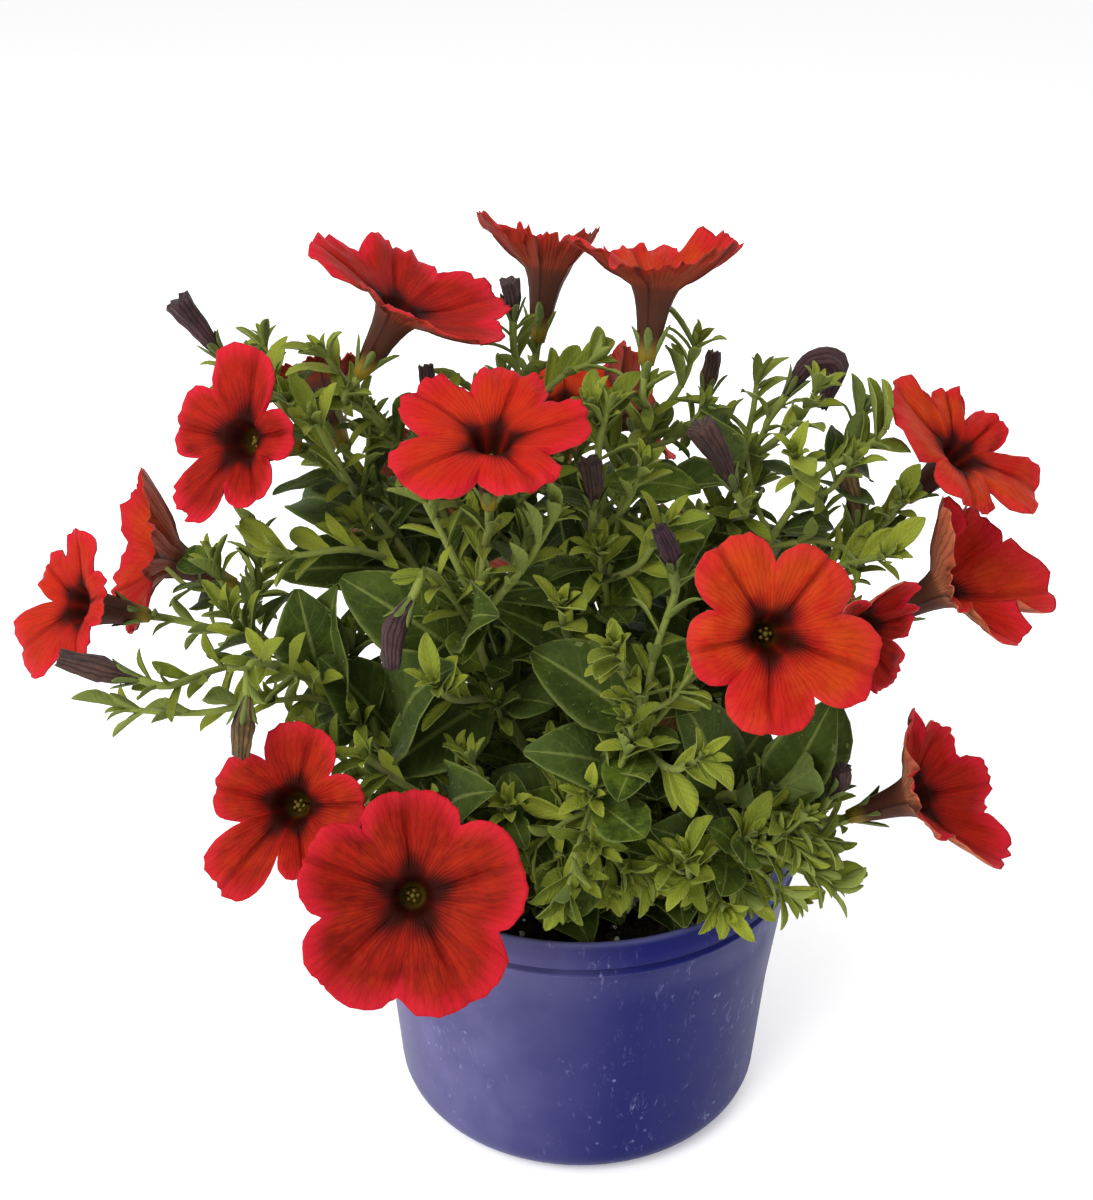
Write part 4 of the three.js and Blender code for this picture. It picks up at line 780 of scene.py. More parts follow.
def pot_material(look):
    """Blue-violet moulded plastic with a dusty bloom, scuffs on its side, a paler worn lip, and a painted
    milky highlight on its front-left side
    """
    material, place = new_material("pot_plastic", look.plastic)
    x, y, z = place.parts()
    cloud = mottle(place, 22.0, 0.3, 0.75)
    colour = (cloud * 0.3).mix(look.plastic, look.plastic_dusty)
    stretched = node(place.tree, "ShaderNodeMapping", {"Vector": place, "Scale": (1.0, 1.0, 0.35)})
    marks = speckle(stretched, 420.0, 5.0, 0.7, 0.8)
    zone = mottle(place, 38.0, 0.46, 0.66)
    scuffs = marks.step(0.56, 0.7) * zone
    cells = node(place.tree, "ShaderNodeTexVoronoi", {"Vector": place, "Scale": 210.0}, feature="F1")
    grit = cells.fall(0.06, 0.16) * (zone * 0.5)
    # Painted highlight: the key light's broad milky sheen, painted paler on the pot's front-left side and
    # broken up by the dust cloud
    painted_sheen = (x * -0.8 + y * -0.6).step(0.022, 0.066) * (cloud * 0.3 + 0.3)
    colour = painted_sheen.mix(colour, look.plastic_painted_sheen)
    lip = z.step((POT_HEIGHT - 1.6) * MM, POT_HEIGHT * MM)
    dust = ((scuffs * 0.45 + grit).clamped() + lip * 0.22).clamped()
    colour = dust.mix(colour, look.plastic_scuff)
    rough = cloud * 0.14 + (dust * 0.25 + 0.34)
    height = speckle(place, 650.0, 2.0) * 0.25 + scuffs * 0.4
    return finished(material, colour, rough, height, 0.22, 0.0002, gloss=0.1)


def soil_material(look, name):
    """Damp peat and bark, or a crumb of it"""
    material, place = new_material(name, look.dark)
    colour = mottle(place, 260.0, 0.42, 0.68).mix(look.dark, look.pale)
    return finished(material, colour, 0.88, speckle(place, 1800.0, 4.0), 1.0, 0.0006)


def tinted_material(name, low, high, scale, rough):
    """A small matte thing of two mixed tones"""
    material, place = new_material(name, low)
    mixed = speckle(place, scale)
    return finished(material, mixed.mix(low, high), rough, mixed, 0.4, 0.0002)


# Making meshes

def circle(radius, height, sides):
    """A level ring round the pot's own middle line"""
    return [Vector((radius * math.cos(math.tau * s / sides), radius * math.sin(math.tau * s / sides), height))
            for s in range(sides)]


def shell(name, rings, materials, across=None, along=None, band_material=None):
    """A closed skin over rings of equal count; a ring of one point closes an end. across holds the map's
    first number at the left and right of each column, along its second number at each ring."""
    mesh = bpy.data.meshes.new(name)
    count = max(len(ring) for ring in rings)
    across = across or [(c / count, (c + 1) / count) for c in range(count)]
    along = along or [r / (len(rings) - 1) for r in range(len(rings))]
    places, starts = [], []
    for ring in rings:
        starts.append(len(places))
        places.extend(tuple(p * MM) for p in ring)
    faces, corners, bands = [], [], []
    for r in range(len(rings) - 1):
        lone, next_lone = len(rings[r]) == 1, len(rings[r + 1]) == 1
        for c in range(count):
            d = (c + 1) % count
            left, right = across[c]
            loop = [(starts[r] + (0 if lone else c), left, along[r]),
                    (starts[r] + (0 if lone else d), right, along[r]),
                    (starts[r + 1] + (0 if next_lone else d), right, along[r + 1]),
                    (starts[r + 1] + (0 if next_lone else c), left, along[r + 1])]
            if lone:
                loop.pop(1)
            elif next_lone:
                loop.pop(2)
            faces.append([corner[0] for corner in loop])
            corners.extend(number for corner in loop for number in corner[1:])
            bands.append(r)
    mesh.from_pydata(places, [], faces)
    mesh.uv_layers.new(name="UVMap").data.foreach_set("uv", corners)
    for material in materials:
        mesh.materials.append(material)
    if band_material:
        mesh.polygons.foreach_set("material_index", [band_material(band) for band in bands])
    turn_outwards(mesh)
    return mesh


def turn_outwards(mesh):
    """Smooth faces that all point out of the closed mesh"""
    mesh.polygons.foreach_set("use_smooth", [True] * len(mesh.polygons))
    work = bmesh.new()
    work.from_mesh(mesh)
    bmesh.ops.remove_doubles(work, verts=work.verts, dist=1e-7)
    bmesh.ops.recalc_face_normals(work, faces=work.faces)
    work.to_mesh(mesh)
    work.free()
    mesh.update()


def mark(mesh, name, values, kind="FLOAT"):
    """Stores a number or vector at every point of a mesh, which its material or node tree reads"""
    key = "vector" if kind == "FLOAT_VECTOR" else "value"
    mesh.attributes.new(name, kind, "POINT").data.foreach_set(key, values)


def show(name, mesh):
    thing = bpy.data.objects.new(name, mesh)
    bpy.context.scene.collection.objects.link(thing)
    return thing


def settle(source, name):
    """Turns a node tree's result into a plain mesh object, and drops the source"""
    graph = bpy.context.evaluated_depsgraph_get()
    mesh = bpy.data.meshes.new_from_object(source.evaluated_get(graph), preserve_all_data_layers=True,
                                           depsgraph=graph)
    mesh.name = name
    bpy.data.objects.remove(source)
    return show(name, mesh)


def apply_tree(thing, group, values):
    """Adds a node tree to an object, with its inputs set by their identifiers"""
    modifier = thing.modifiers.new(group.name, "NODES")
    modifier.node_group = group
    for item in group.interface.items_tree:
        if item.item_type == "SOCKET" and item.in_out == "INPUT" and item.name in values:
            modifier[item.identifier] = values[item.name]


def keep(thing, slot, *nodes):
    """Gives a finished piece its body, the root one, and hides the solids that it stands for. Its slot is not
    used.
    """
    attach(thing, "root")
    if nodes:
        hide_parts(*nodes)


# Leaves

def leaf_mesh(name, form, columns):
    """A closed blade of unit length and width: folded along its midrib, arched, curled at the tip, waved"""
    kind, fold, arch, curl, wave = form
    rows = OUTLINES[kind]
    thickness = 0.035 if kind == "young" else 0.02
    top, under, maps = [], [], []
    for t, half in rows:
        for j in range(columns + 1):
            v = 2 * j / columns - 1
            z = 4 * arch * t * (1 - t) + fold * abs(v) ** 1.4 * half * 0.5
            z -= curl * max(t - 0.6, 0) ** 2 * 3
            z += wave * v * v * math.sin(7 * t + (2.1 if v > 0 else 0) + 2 * fold) * half * 0.5
            top.append((t, 0.5 * half * v, z))
            under.append((t, 0.5 * half * v, z - thickness * (1 - 0.5 * abs(v))))
            maps.append((j / columns, t))
    n = len(top)
    wide = columns + 1
    last = len(rows) - 1
    faces = []
    for i in range(last):
        for j in range(columns):
            a = i * wide + j
            quad = [a, a + 1, a + wide + 1, a + wide]
            faces += [quad, [k + n for k in reversed(quad)]]
    edge = [i * wide for i in range(last + 1)] + [last * wide + j for j in range(1, wide)]
    edge += [i * wide + columns for i in range(last - 1, -1, -1)] + list(range(columns - 1, 0, -1))
    faces += [[a, b, b + n, a + n] for a, b in zip(edge, edge[1:] + edge[:1])]
    mesh = bpy.data.meshes.new(name)
    mesh.from_pydata(top + under, [], faces)
    layer = mesh.uv_layers.new(name="UVMap")
    for loop in mesh.loops:
        layer.data[loop.index].uv = maps[loop.vertex_index % n]
    mark(mesh, "under", [0.0] * n + [1.0] * n)
    turn_outwards(mesh)
    return mesh


def leaf_prototypes():
    kinds = bpy.data.collections.new("leaf_kinds")
    bpy.context.scene.collection.children.link(kinds)
    for i, form in enumerate(LEAF_FORMS):
        name = f"leaf_kind_{i:02d}"
        columns = 6 if form[0] in ("broad", "oblong") else 4
        kinds.objects.link(bpy.data.objects.new(name, leaf_mesh(name, form, columns)))
    return kinds


def drop(kinds):
    for thing in list(kinds.objects):
        bpy.data.objects.remove(thing)
    bpy.data.collections.remove(kinds)


class Spot:
    """Where a leaf stands: its root and tip, the way its face looks, its width, kind and tint"""

    def __init__(self, root, tip, face, width, kind, tint):
        self.root = root
        self.length = (tip - root).length
        self.along = (tip - root).normalized()
        self.up = square_to(self.along, face)
        self.width = width
        self.kind = kind
        self.tint = tint

    def side(self):
        return self.up.cross(self.along)

    def reach(self, share, across):
        return self.root + self.along * self.length * share + self.side() * across * self.width / 2

    def middle(self):
        return self.reach(0.6, 0)

    def turn(self):
        return Matrix((self.along, self.side(), self.up)).transposed().to_quaternion()


def leaf_points(name, spots, seed):
    """A cloud of points that carries every leaf's turn, size, kind and tint"""
    rng = random.Random(seed)
    mesh = bpy.data.meshes.new(name)
    mesh.from_pydata([tuple(spot.root * MM) for spot in spots], [], [])
    mark(mesh, "turn", [number for spot in spots for number in spot.turn()], "QUATERNION")
    mark(mesh, "size", [number * MM for spot in spots for number in
                        (spot.length, spot.width, (spot.length + spot.width) / 2)], "FLOAT_VECTOR")
    mark(mesh, "kind", [rng.choice(FORMS_OF[spot.kind]) for spot in spots], "INT")
    mark(mesh, "tint", [spot.tint for spot in spots])
    return show(name, mesh)


def named(tree, name, kind):
    return node(tree, "GeometryNodeInputNamedAttribute", {"Name": name}, data_type=kind)


def realized(tree, copies, material):
    """Plain geometry out of copies, in one material"""
    plain = node(tree, "GeometryNodeRealizeInstances", {"Geometry": copies})
    return node(tree, "GeometryNodeSetMaterial", {"Geometry": plain, "Material": material})


def leafy_stem_group():
    """Tubes along a stem's curves, and a leaf on every point"""
    tree, given, result = new_group("Leafy Stem", "GeometryNodeTree", (
        ("Leaf Points", "Geometry", None), ("Wood", "Object", None), ("Leaf Kinds", "Collection", None),
        ("Stem Sides", "Int", 8), ("Bark", "Material", None), ("Blade", "Material", None)),
        (("Geometry", "Geometry"),))
    kinds = node(tree, "GeometryNodeCollectionInfo", {"Collection": given["Leaf Kinds"],
                                                      "Separate Children": True, "Reset Children": True})
    leaves = node(tree, "GeometryNodeInstanceOnPoints", {
        "Points": given["Leaf Points"], "Instance": kinds, "Pick Instance": True,
        "Instance Index": named(tree, "kind", "INT"), "Rotation": named(tree, "turn", "QUATERNION"),
        "Scale": named(tree, "size", "FLOAT_VECTOR")})
    curves = node(tree, "GeometryNodeObjectInfo", {"Object": given["Wood"]}, out=4)
    section = node(tree, "GeometryNodeCurvePrimitiveCircle", {
        "Resolution": given["Stem Sides"], "Radius": 1.0})
    wood = node(tree, "GeometryNodeCurveToMesh", {
        "Curve": curves, "Profile Curve": section, "Scale": node(tree, "GeometryNodeInputRadius"),
        "Fill Caps": True})
    wood = node(tree, "GeometryNodeSetShadeSmooth", {"Geometry": wood})
    both = tree.nodes.new("GeometryNodeJoinGeometry")
    realized(tree, leaves, given["Blade"]).feed(both.inputs[0])
    realized(tree, wood, given["Bark"]).feed(both.inputs[0])
    Wire(both.outputs[0]).feed(result["Geometry"])
    return tree


def scatter_group(name):
    """Small copies of a shape over a surface, at seeded places, stood on it or thrown about"""
    tree, given, result = new_group(name, "GeometryNodeTree", (
        ("Surface", "Geometry", None), ("Shape", "Object", None), ("Density", "Float", 1000.0),
        ("Smallest", "Float", 0.5), ("Largest", "Float", 1.0), ("Tilt", "Float", 0.5), ("Seed", "Int", 1),
        ("Finish", "Material", None)), (("Geometry", "Geometry"),))
    thrown = tree.nodes.new("GeometryNodeDistributePointsOnFaces")
    set_inputs(thrown, {"Mesh": given["Surface"], "Density": given["Density"], "Seed": given["Seed"]})
    lean = node(tree, "ShaderNodeCombineXYZ", {0: given["Tilt"], 1: given["Tilt"], 2: math.pi})
    least = node(tree, "ShaderNodeVectorMath", {0: lean, 1: (-1, -1, -1)}, operation="MULTIPLY")
    wobble = node(tree, "FunctionNodeRandomValue", {0: least, 1: lean, "Seed": given["Seed"]},
                  data_type="FLOAT_VECTOR")
    turn = node(tree, "FunctionNodeRotateRotation", {
        0: Wire(thrown.outputs["Rotation"]), 1: node(tree, "FunctionNodeEulerToRotation", {0: wobble})},
        rotation_space="LOCAL")
    size = node(tree, "FunctionNodeRandomValue", {
        2: given["Smallest"], 3: given["Largest"], "Seed": given["Seed"]}, out=1, data_type="FLOAT")
    shape = node(tree, "GeometryNodeObjectInfo", {"Object": given["Shape"], "As Instance": True}, out=4)
    copies = node(tree, "GeometryNodeInstanceOnPoints", {
        "Points": Wire(thrown.outputs["Points"]), "Instance": shape, "Rotation": turn, "Scale": size})
    realized(tree, copies, given["Finish"]).feed(result["Geometry"])
    return tree


# The plant's growth: the same stems, stalks and leaves as the solids, then smaller shoots by rule

def bloom_axes(bloom):
    turn, rise = (math.radians(angle) for angle in bloom.face)
    out = Vector((math.sin(turn) * math.cos(rise), -math.cos(turn) * math.cos(rise), math.sin(rise)))
    across = Vector((0, 0, 1)).cross(out).normalized()
    return Vector(bloom.throat), out, across, out.cross(across)


def stem_run(stem):
    x, y = stem.foot
    return Run([(x, y, SOIL_TOP + 2), *stem.path], len(stem.path) + 1, root=(x, y, SOIL_TOP - ROOT_DEPTH))


def stalk_run(run, share, end, out):
    before = end - out * 8
    middle = run.corner_at(share).lerp(before, 0.5) + run.corner_heading(share) * 3
    return Run([run.at(share), middle, before, end], 3)


def wide_choices(run, share, tip, width):
    """The ways that a largest leaf was tried to stand, in order"""
    root = run.corner_at(share)
    for shift in ((0, 0, 0), (0, 0, 5), (5, 0, 0), (-5, 0, 0), (0, 5, 0), (0, -5, 0), (0, 0, -5), (6, 6, 4),
                  (-6, -6, 4)):
        way = Vector(tip) + Vector(shift) - root
        face = Vector((tip[0] / OUTLOOK, tip[1] / OUTLOOK - FRONT_TILT, 1)) - way.normalized() * 0.35
        yield root, way.normalized(), face, way.length, width, 0.12


def rule_choices(run, share, order, seed, young):
    """The ways that a leaf of the rule was tried to stand, in order"""
    draw = draws(seed)
    turn = order * GOLDEN_TURN + 6 * next(draw)
    length = 11 + 6 * next(draw) if young else 17 + 12 * next(draw)
    width = 4.2 + 1.6 * next(draw) if young else 8 + 5 * next(draw)
    spread = 0.55 + 0.5 * next(draw) if young else 0.85 + 0.45 * next(draw)
    droop = 0.08 * next(draw) if young else 0.1 + 0.2 * next(draw)
    root, along = run.corner_at(share), run.corner_heading(share)
    for more in (0, 0.5, -0.5, 1.05, -1.05, 2.1, -2.1):
        way = leaning(along, beside(along, turn + more), spread)
        yield root, way.normalized(), Vector((0, 0, 0.8)) + along * 0.9, length, width, droop


def standing_leaf(choices, corners):
    """The choice whose tip is a corner of the solid, as (tip, face, width), or None"""
    for root, along, face, length, width, droop in choices:
        up = square_to(along, face)
        tip = root + along * length + up * (BLADE / 2 - droop * length)
        _, _, gap = corners.find(tip * MM)
        if gap < SAME_CORNER:
            return tip, up, width
    return None


def node_corners(name):
    vertices = frame["nodes"][name].data.vertices
    corners = KDTree(len(vertices))
    for i, vertex in enumerate(vertices):
        corners.insert(vertex.co, i)
    corners.balance()
    return corners


class Room:
    """What a further leaf must stay clear of: the pot, the blooms, the space before their faces, the box"""

    def __init__(self):
        places, faces = [], []
        for name, thing in frame["nodes"].items():
            if name.startswith(("bloom", "spent", "pot")):
                first = len(places)
                places.extend(tuple(v.co) for v in thing.data.vertices)
                faces.extend([first + i for i in p.vertices] for p in thing.data.polygons)
        self.solids = BVHTree.FromPolygons(places, faces)
        self.faces = [(*bloom_axes(bloom)[:2], bloom.radius) for bloom in BLOOMS.values()]
        self.taken = []

    def free(self, point, gap=1.1):
        limits = zip(CAD_LOW, point, CAD_HIGH)
        if not all(low + BOX_MARGIN < c * MM < high - BOX_MARGIN for low, c, high in limits):
            return False
        if point.z < POT_HEIGHT + 2 and math.hypot(point.x, point.y) > LIP_RADIUS - 5:
            return False
        if point.z < SOIL_TOP + 2 or self.solids.find_nearest(point * MM, gap * MM)[0] is not None:
            return False
        return not any(self.hides(face, point) for face in self.faces)

    def hides(self, face, point):
        """True if a leaf at the point would stand before a bloom's face"""
        throat, out, radius = face
        rise = (point - throat).dot(out)
        off = ((point - throat) - out * rise).length
        return -1 < rise < VIEW_DEPTH and off < radius * (1 - rise / VIEW_TAPER)

    def has_run(self, shoot, gap, shares):
        return all(self.free(shoot.at(share), gap) for share in shares)

    def takes(self, spot, crowd):
        """True if a leaf can stand there, which is then kept for the next ones"""
        probes = ((0.35, 0), (0.6, -0.8), (0.6, 0.8), (0.8, 0), (1, 0))
        if not all(self.free(spot.reach(*probe)) for probe in probes):
            return False
        middle = spot.middle()
        if any((middle - other).length < crowd for other in self.taken):
            return False
        self.taken.append(middle)
        return True


class Growth:
    """The wood and leaves of one stem: first those of the solids, then more where there is room"""

    def __init__(self, stem, number, room, look):
        self.stem, self.number, self.room, self.look = stem, number, room, look
        self.rng = random.Random(number * 17 + look.seed)
        self.run = stem_run(stem)
        self.shoots = [Run([self.run.at(share), *path], len(path)) for share, path in stem.sides]
        self.wood = [(self.run, FOOT_RADIUS * ROUND_SHARE, TIP_RADIUS * ROUND_SHARE)]
        self.wood += [(shoot, STALK_RADIUS + 0.3, STALK_RADIUS) for shoot in self.shoots]
        self.spots = []
        self.stalks = []

    def near(self, value, spread):
        return value + self.rng.uniform(-spread, spread)

    def settle_first(self, tries, crowd):
        """Keeps the first of several tried leaves that has room"""
        for spot in tries:
            if self.room.takes(spot, crowd):
                self.spots.append(spot)
                return

    def add_stalk(self, share, end, out):
        stalk = stalk_run(self.run, share, end, out)
        self.wood.append((stalk, STALK_RADIUS, STALK_END * ROUND_SHARE))
        self.stalks.append(stalk)

    def carry_blooms(self):
        """The stalks of the stem's blooms, each with five sepals round the foot of the tube"""
        draw = self.rng.uniform
        for name, share in self.stem.blooms:
            throat, out, across, up = bloom_axes(BLOOMS[name])
            end = throat - out * (TUBE_LENGTH + STALK_GAP)
            self.add_stalk(share, end, out)
            for i in range(PETALS):
                turn = math.radians(72 * i + 36)
                away = across * math.cos(turn) + up * math.sin(turn)
                root = end - out * 1.2 + away * 1.0
                tip = end + out * draw(9, 12) + away * draw(4.6, 6.4)
                self.spots.append(Spot(root, tip, -away, draw(2.0, 2.7), "sepal", 0.5))
        for name, share in self.stem.spent:
            first, second = (Vector(p) for p in SPENT[name][0][:2])
            out = (second - first).normalized()
            end = first - out * STALK_GAP
            self.add_stalk(share, end, out)
            for i in range(PETALS):
                away = beside(out, FIFTH_TURN * i)
                tip = end + out * draw(6, 8) + away * draw(3.6, 4.8)
                self.spots.append(Spot(end - out + away, tip, -away, draw(1.7, 2.2), "sepal", 0.45))

    def wishes(self):
        """The leaves that the solids may have, each as (place, kind, ways to stand, its run)"""
        stem, seed = self.stem, self.number * 100
        for share, tip, width in stem.wide:
            yield share, "broad", wide_choices(self.run, share, tip, width), self.run
        for i in range(stem.leaves):
            share = lerp(0.42, 0.99, (i + 0.5) / stem.leaves)
            young = i > 0.6 * stem.leaves
            kind = "young" if young else "oblong"
            yield share, kind, rule_choices(self.run, share, i, seed + i, young), self.run
        for s, (place, path) in enumerate(stem.sides):
            straight = Run([self.run.corner_at(place), *path], len(path))
            for i in range(TUFT_LEAVES):
                share = lerp(0.45, 0.98, i / (TUFT_LEAVES - 1))
                ways = rule_choices(straight, share, i, seed + TUFT_SEED + 10 * s + i, True)
                yield share, "young", ways, self.shoots[s]

    def stand_leaves(self, corners):
        """The leaves of the solids, then the large ones that show from the front"""
        look, rng = self.look, self.rng
        for share, kind, choices, line in self.wishes():
            standing = standing_leaf(choices, corners)
            if standing:
                tip, face, width = standing
                tint = self.near(TINT_OF[kind], 0.12)
                # Painted highlight: these broad leaves get a tint below zero, which paints a pale sheen on
                # them
                if kind == "broad" and rng.random() < look.painted_sheen_share:
                    tint = rng.uniform(-0.45, -0.15)
                width *= look.broad_width if kind == "broad" else look.leaf_width
                self.spots.append(Spot(line.at(share), tip, face, width, kind, tint))
                self.room.taken.append(self.spots[-1].middle())
        for share, tip, width, tint in self.stem.showing:
            spot = Spot(self.run.at(share), Vector(tip), Vector(VIEWED), width, "broad", tint)
            self.settle_first([spot], 3.0)

    def leaf_shoot(self, run, tint, start=0.3, stop=0.95, leaves=4, length=12.5, rosette=6):
        """Leaves along a small shoot, the larger ones lower, and a close rosette at its tip"""
        draw = self.rng.uniform
        rows = []
        turns = spiral(draw(0, 6))
        for i in range(leaves):
            share = lerp(start, stop, i / max(leaves - 1, 1))
            size = length * lerp(1.15, 0.7, share) * draw(0.85, 1.15)
            spread = lerp(1.15, 0.7, share) + draw(-0.15, 0.15)
            rows.append((share, next(turns), size, size * draw(0.27, 0.36), spread))
        for i in range(rosette):
            close = i / rosette
            size = length * lerp(0.95, 0.45, close) * draw(0.75, 1.2)
            rows.append((lerp(0.9, 1.0, close), next(turns), size, size * draw(0.24, 0.34),
                         lerp(0.8, 0.15, close) * draw(0.7, 1.2)))
        for share, turn, size, width, spread in rows:
            root, along = run.at(share), run.heading(share)
            tip = root + leaning(along, beside(along, turn), spread) * size
            spot = Spot(root, tip, along + Vector((0, 0, 0.4)), width, "young", self.near(tint, 0.12))
            self.settle_first([spot], 1.5)

    def side_shoot(self, share, turn, length):
        """A short shoot that leaves the stem and turns upwards"""
        root, along = self.run.at(share), self.run.heading(share)
        way = leaning(along, beside(along, turn), self.rng.uniform(0.7, 1.15))
        tip = root + way * length * 0.85 + Vector((0, 0, 0.3 * length))
        return Run([root, root + way * length * 0.5, tip], 4)

    def rim_shoot(self, share, length):
        """A short shoot that leaves a low stem outwards and hangs towards the rim of the pot"""
        root = self.run.at(share)
        way = self.near(math.atan2(root.y, root.x), 0.9)
        out = Vector((math.cos(way), math.sin(way), self.rng.uniform(-0.5, 0.0)))
        return Run([root, root + out * length * 0.5 + Vector((0, 0, 2)), root + out * length], 4)

    def foot_leaf(self, share):
        """A large leaf that leaves the foot of the stem outwards"""
        root = self.run.at(share)
        way = self.near(math.atan2(root.y, root.x), 1.3)
        size = self.rng.uniform(22, 32)
        rise = self.rng.uniform(0.0, 0.6)
        x, y = math.cos(way), math.sin(way)
        tip = root + Vector((x * math.cos(rise), y * math.cos(rise), math.sin(rise))) * size
        return Spot(root, tip, Vector((0.6 * x, 0.6 * y - FRONT_TILT, 1)), size * self.rng.uniform(0.55, 0.7),
                    "broad", self.rng.uniform(0.0, 0.3))

    def filling_leaf(self, share, turn):
        """A leaf between the stem's main ones, large and perhaps dry when low, smaller higher up"""
        draw = self.rng.uniform
        root, along = self.run.at(share), self.run.heading(share)
        size = lerp(24, 13, share) * draw(0.8, 1.2)
        way = leaning(along, beside(along, turn), draw(0.8, 1.3))
        tip = root + way * size - Vector((0, 0, 0.16 * size))
        dry = root.z < DRY_BELOW and self.rng.random() < self.look.dry
        face = Vector((tip.x / OUTLOOK, tip.y / OUTLOOK - FRONT_TILT, 0.9)) + along * 0.5
        kind = "broad" if size > BROAD_LENGTH else "oblong"
        return Spot(root, tip, face, size * draw(0.5, 0.66), kind, 1.5 if dry else draw(-0.3, 0.5))

    def grow_shoots(self, turns):
        """Small shoots up the stem, and on a low stem also towards the rim"""
        look, draw = self.look, self.rng.uniform
        count = int(self.run.length() / look.shoot_step)
        for i in range(count):
            share, turn = lerp(0.3, 0.92, (i + 0.5) / count), next(turns)
            for attempt in range(4):
                shoot = self.side_shoot(share, turn + attempt * 1.5, draw(12, 24))
                if self.room.has_run(shoot, 2.0, (0.4, 0.7, 1.0)):
                    self.wood.append((shoot, 0.9, 0.6))
                    self.leaf_shoot(shoot, draw(0.5, 0.85), leaves=5, length=draw(9.5, 14.0))
                    break
        low = self.run.at(1).z < LOW_STEM
        for i in range(look.low_shoots if low else 0):
            share = lerp(0.4, 0.9, i / look.low_shoots)
            for attempt in range(6):
                shoot = self.rim_shoot(share, draw(12, 26))
                if self.room.has_run(shoot, 1.5, (0.5, 0.75, 1.0)):
                    self.wood.append((shoot, 0.8, 0.55))
                    self.leaf_shoot(shoot, draw(0.55, 0.95), start=0.25, leaves=6, length=draw(10.0, 14.5))
                    break

    def grow_further(self):
        """Leaves on long stalks, tufts on the ends, small shoots and the leaves between them"""
        for stalk in self.stalks:
            length = stalk.length()
            if length > self.look.bare_stalk:
                self.leaf_shoot(stalk, 0.7, 0.1, 0.82, leaves=int(length / 3.5), length=11.5, rosette=0)
        for shoot in self.shoots:
            self.leaf_shoot(shoot, 0.8)
        self.leaf_shoot(self.run, 0.8, start=0.9, leaves=3)
        turns = spiral(self.rng.uniform(0, 6))
        self.grow_shoots(turns)
        for i in range(self.look.low_leaves):
            share = lerp(0.03, 0.3, i / self.look.low_leaves)
            self.settle_first((self.foot_leaf(share) for _ in range(6)), 6.0)
        leaves = int(self.run.length() / self.look.leaf_step)
        for i in range(leaves):
            share, turn = lerp(0.22, 0.95, (i + 0.5) / leaves), next(turns)
            self.settle_first((self.filling_leaf(share, turn + k * 1.25) for k in range(5)), 4.5)


def wood_curve(name, runs):
    """The runs of a stem as one curve object, with the radius of its wood at every point"""
    curve = bpy.data.curves.new(name, "CURVE")
    curve.dimensions = "3D"
    for run, first, last in runs:
        count = max(4, 4 * (len(run.corners) - 1))
        spline = curve.splines.new("POLY")
        spline.points.add(count)
        for i in range(count + 1):
            share = i / count
            spline.points[i].co = (*(run.at(share) * MM), 1)
            spline.points[i].radius = lerp(first, last, share) * MM
    return show(name, curve)


# Blooms

HALF_ACROSS = (0.05, 0.13, 0.22, 0.32, 0.42, 0.52, 0.62, 0.72, 0.82, 0.9, 0.96)
ACROSS = (*(-x for x in reversed(HALF_ACROSS)), 0.0, *HALF_ACROSS, 1.0)
SHARES = (0.0, 0.06, 0.14, 0.24, 0.35, 0.46, 0.58, 0.7, 0.81, 0.9, 0.96, 1.0)

# The throat inside and the tube outside, as (radius, height below the face)
INNER_TUBE = ((1.0, -16), (2.0, -12.5), (3.0, -9), (4.3, -5.8))
OUTER_TUBE = ((6.2, -4.8), (5.1, -7.4), (4.3, -10.5), (3.7, -14), (3.2, -17.5), (2.6, -21),
              (2.0, -TUBE_LENGTH))


def ridge(x, width):
    """1 on a line, falling off to both sides within a width"""
    return math.exp(-(x / width) ** 2)


def petal_columns(bloom, index):
    """Round a bloom's face, every column's turn, reach, place on its petal, lift of its edge and petal"""
    petals = sorted(bloom.petals)
    draw = draws(RUFFLE_SEED + index)
    lifts = [[bloom.ruffle * (2 * next(draw) - 1) for _ in range(2)] for _ in petals]
    columns = []
    for i, (angle, reach, _) in enumerate(petals):
        before, after = petals[i - 1], petals[(i + 1) % PETALS]
        gap_before = (angle - before[0]) % 360 / 2
        gap_after = (after[0] - angle) % 360 / 2
        edge = ((-1, -0.5 * bloom.ruffle), (-0.55, lifts[i - 1][1]), (0, 0.4 * bloom.ruffle),
                (0.55, lifts[i][0]), (1, -0.5 * bloom.ruffle))
        for x in ACROSS:
            turn = math.radians(angle + x * (gap_after if x > 0 else gap_before))
            notch = bloom.notch * min(reach, (after if x > 0 else before)[1]) / reach
            lobe = 1 - (1 - notch) * abs(x) ** 3.8 - 0.02 * ridge(x, 0.12)
            columns.append((turn, reach * lobe, x, of_rows(edge, x, eased=True), i))
    return columns


def limb_height(bloom, share, turn):
    """How far the face rises at a turn, as in the solids: each petal's bend, eased into its neighbours'"""
    weights = [math.exp(BEND_EASE * math.cos(turn - math.radians(petal[0]))) for petal in bloom.petals]
    bend = sum(weight * petal[2] for weight, petal in zip(weights, bloom.petals)) / sum(weights)
    fold, fold_turn = bloom.saddle
    rim = bloom.cup + bend + fold * math.cos(2 * (turn - math.radians(fold_turn)))
    return rim * share**2 - THROAT_DROP * (1 - share) ** 2


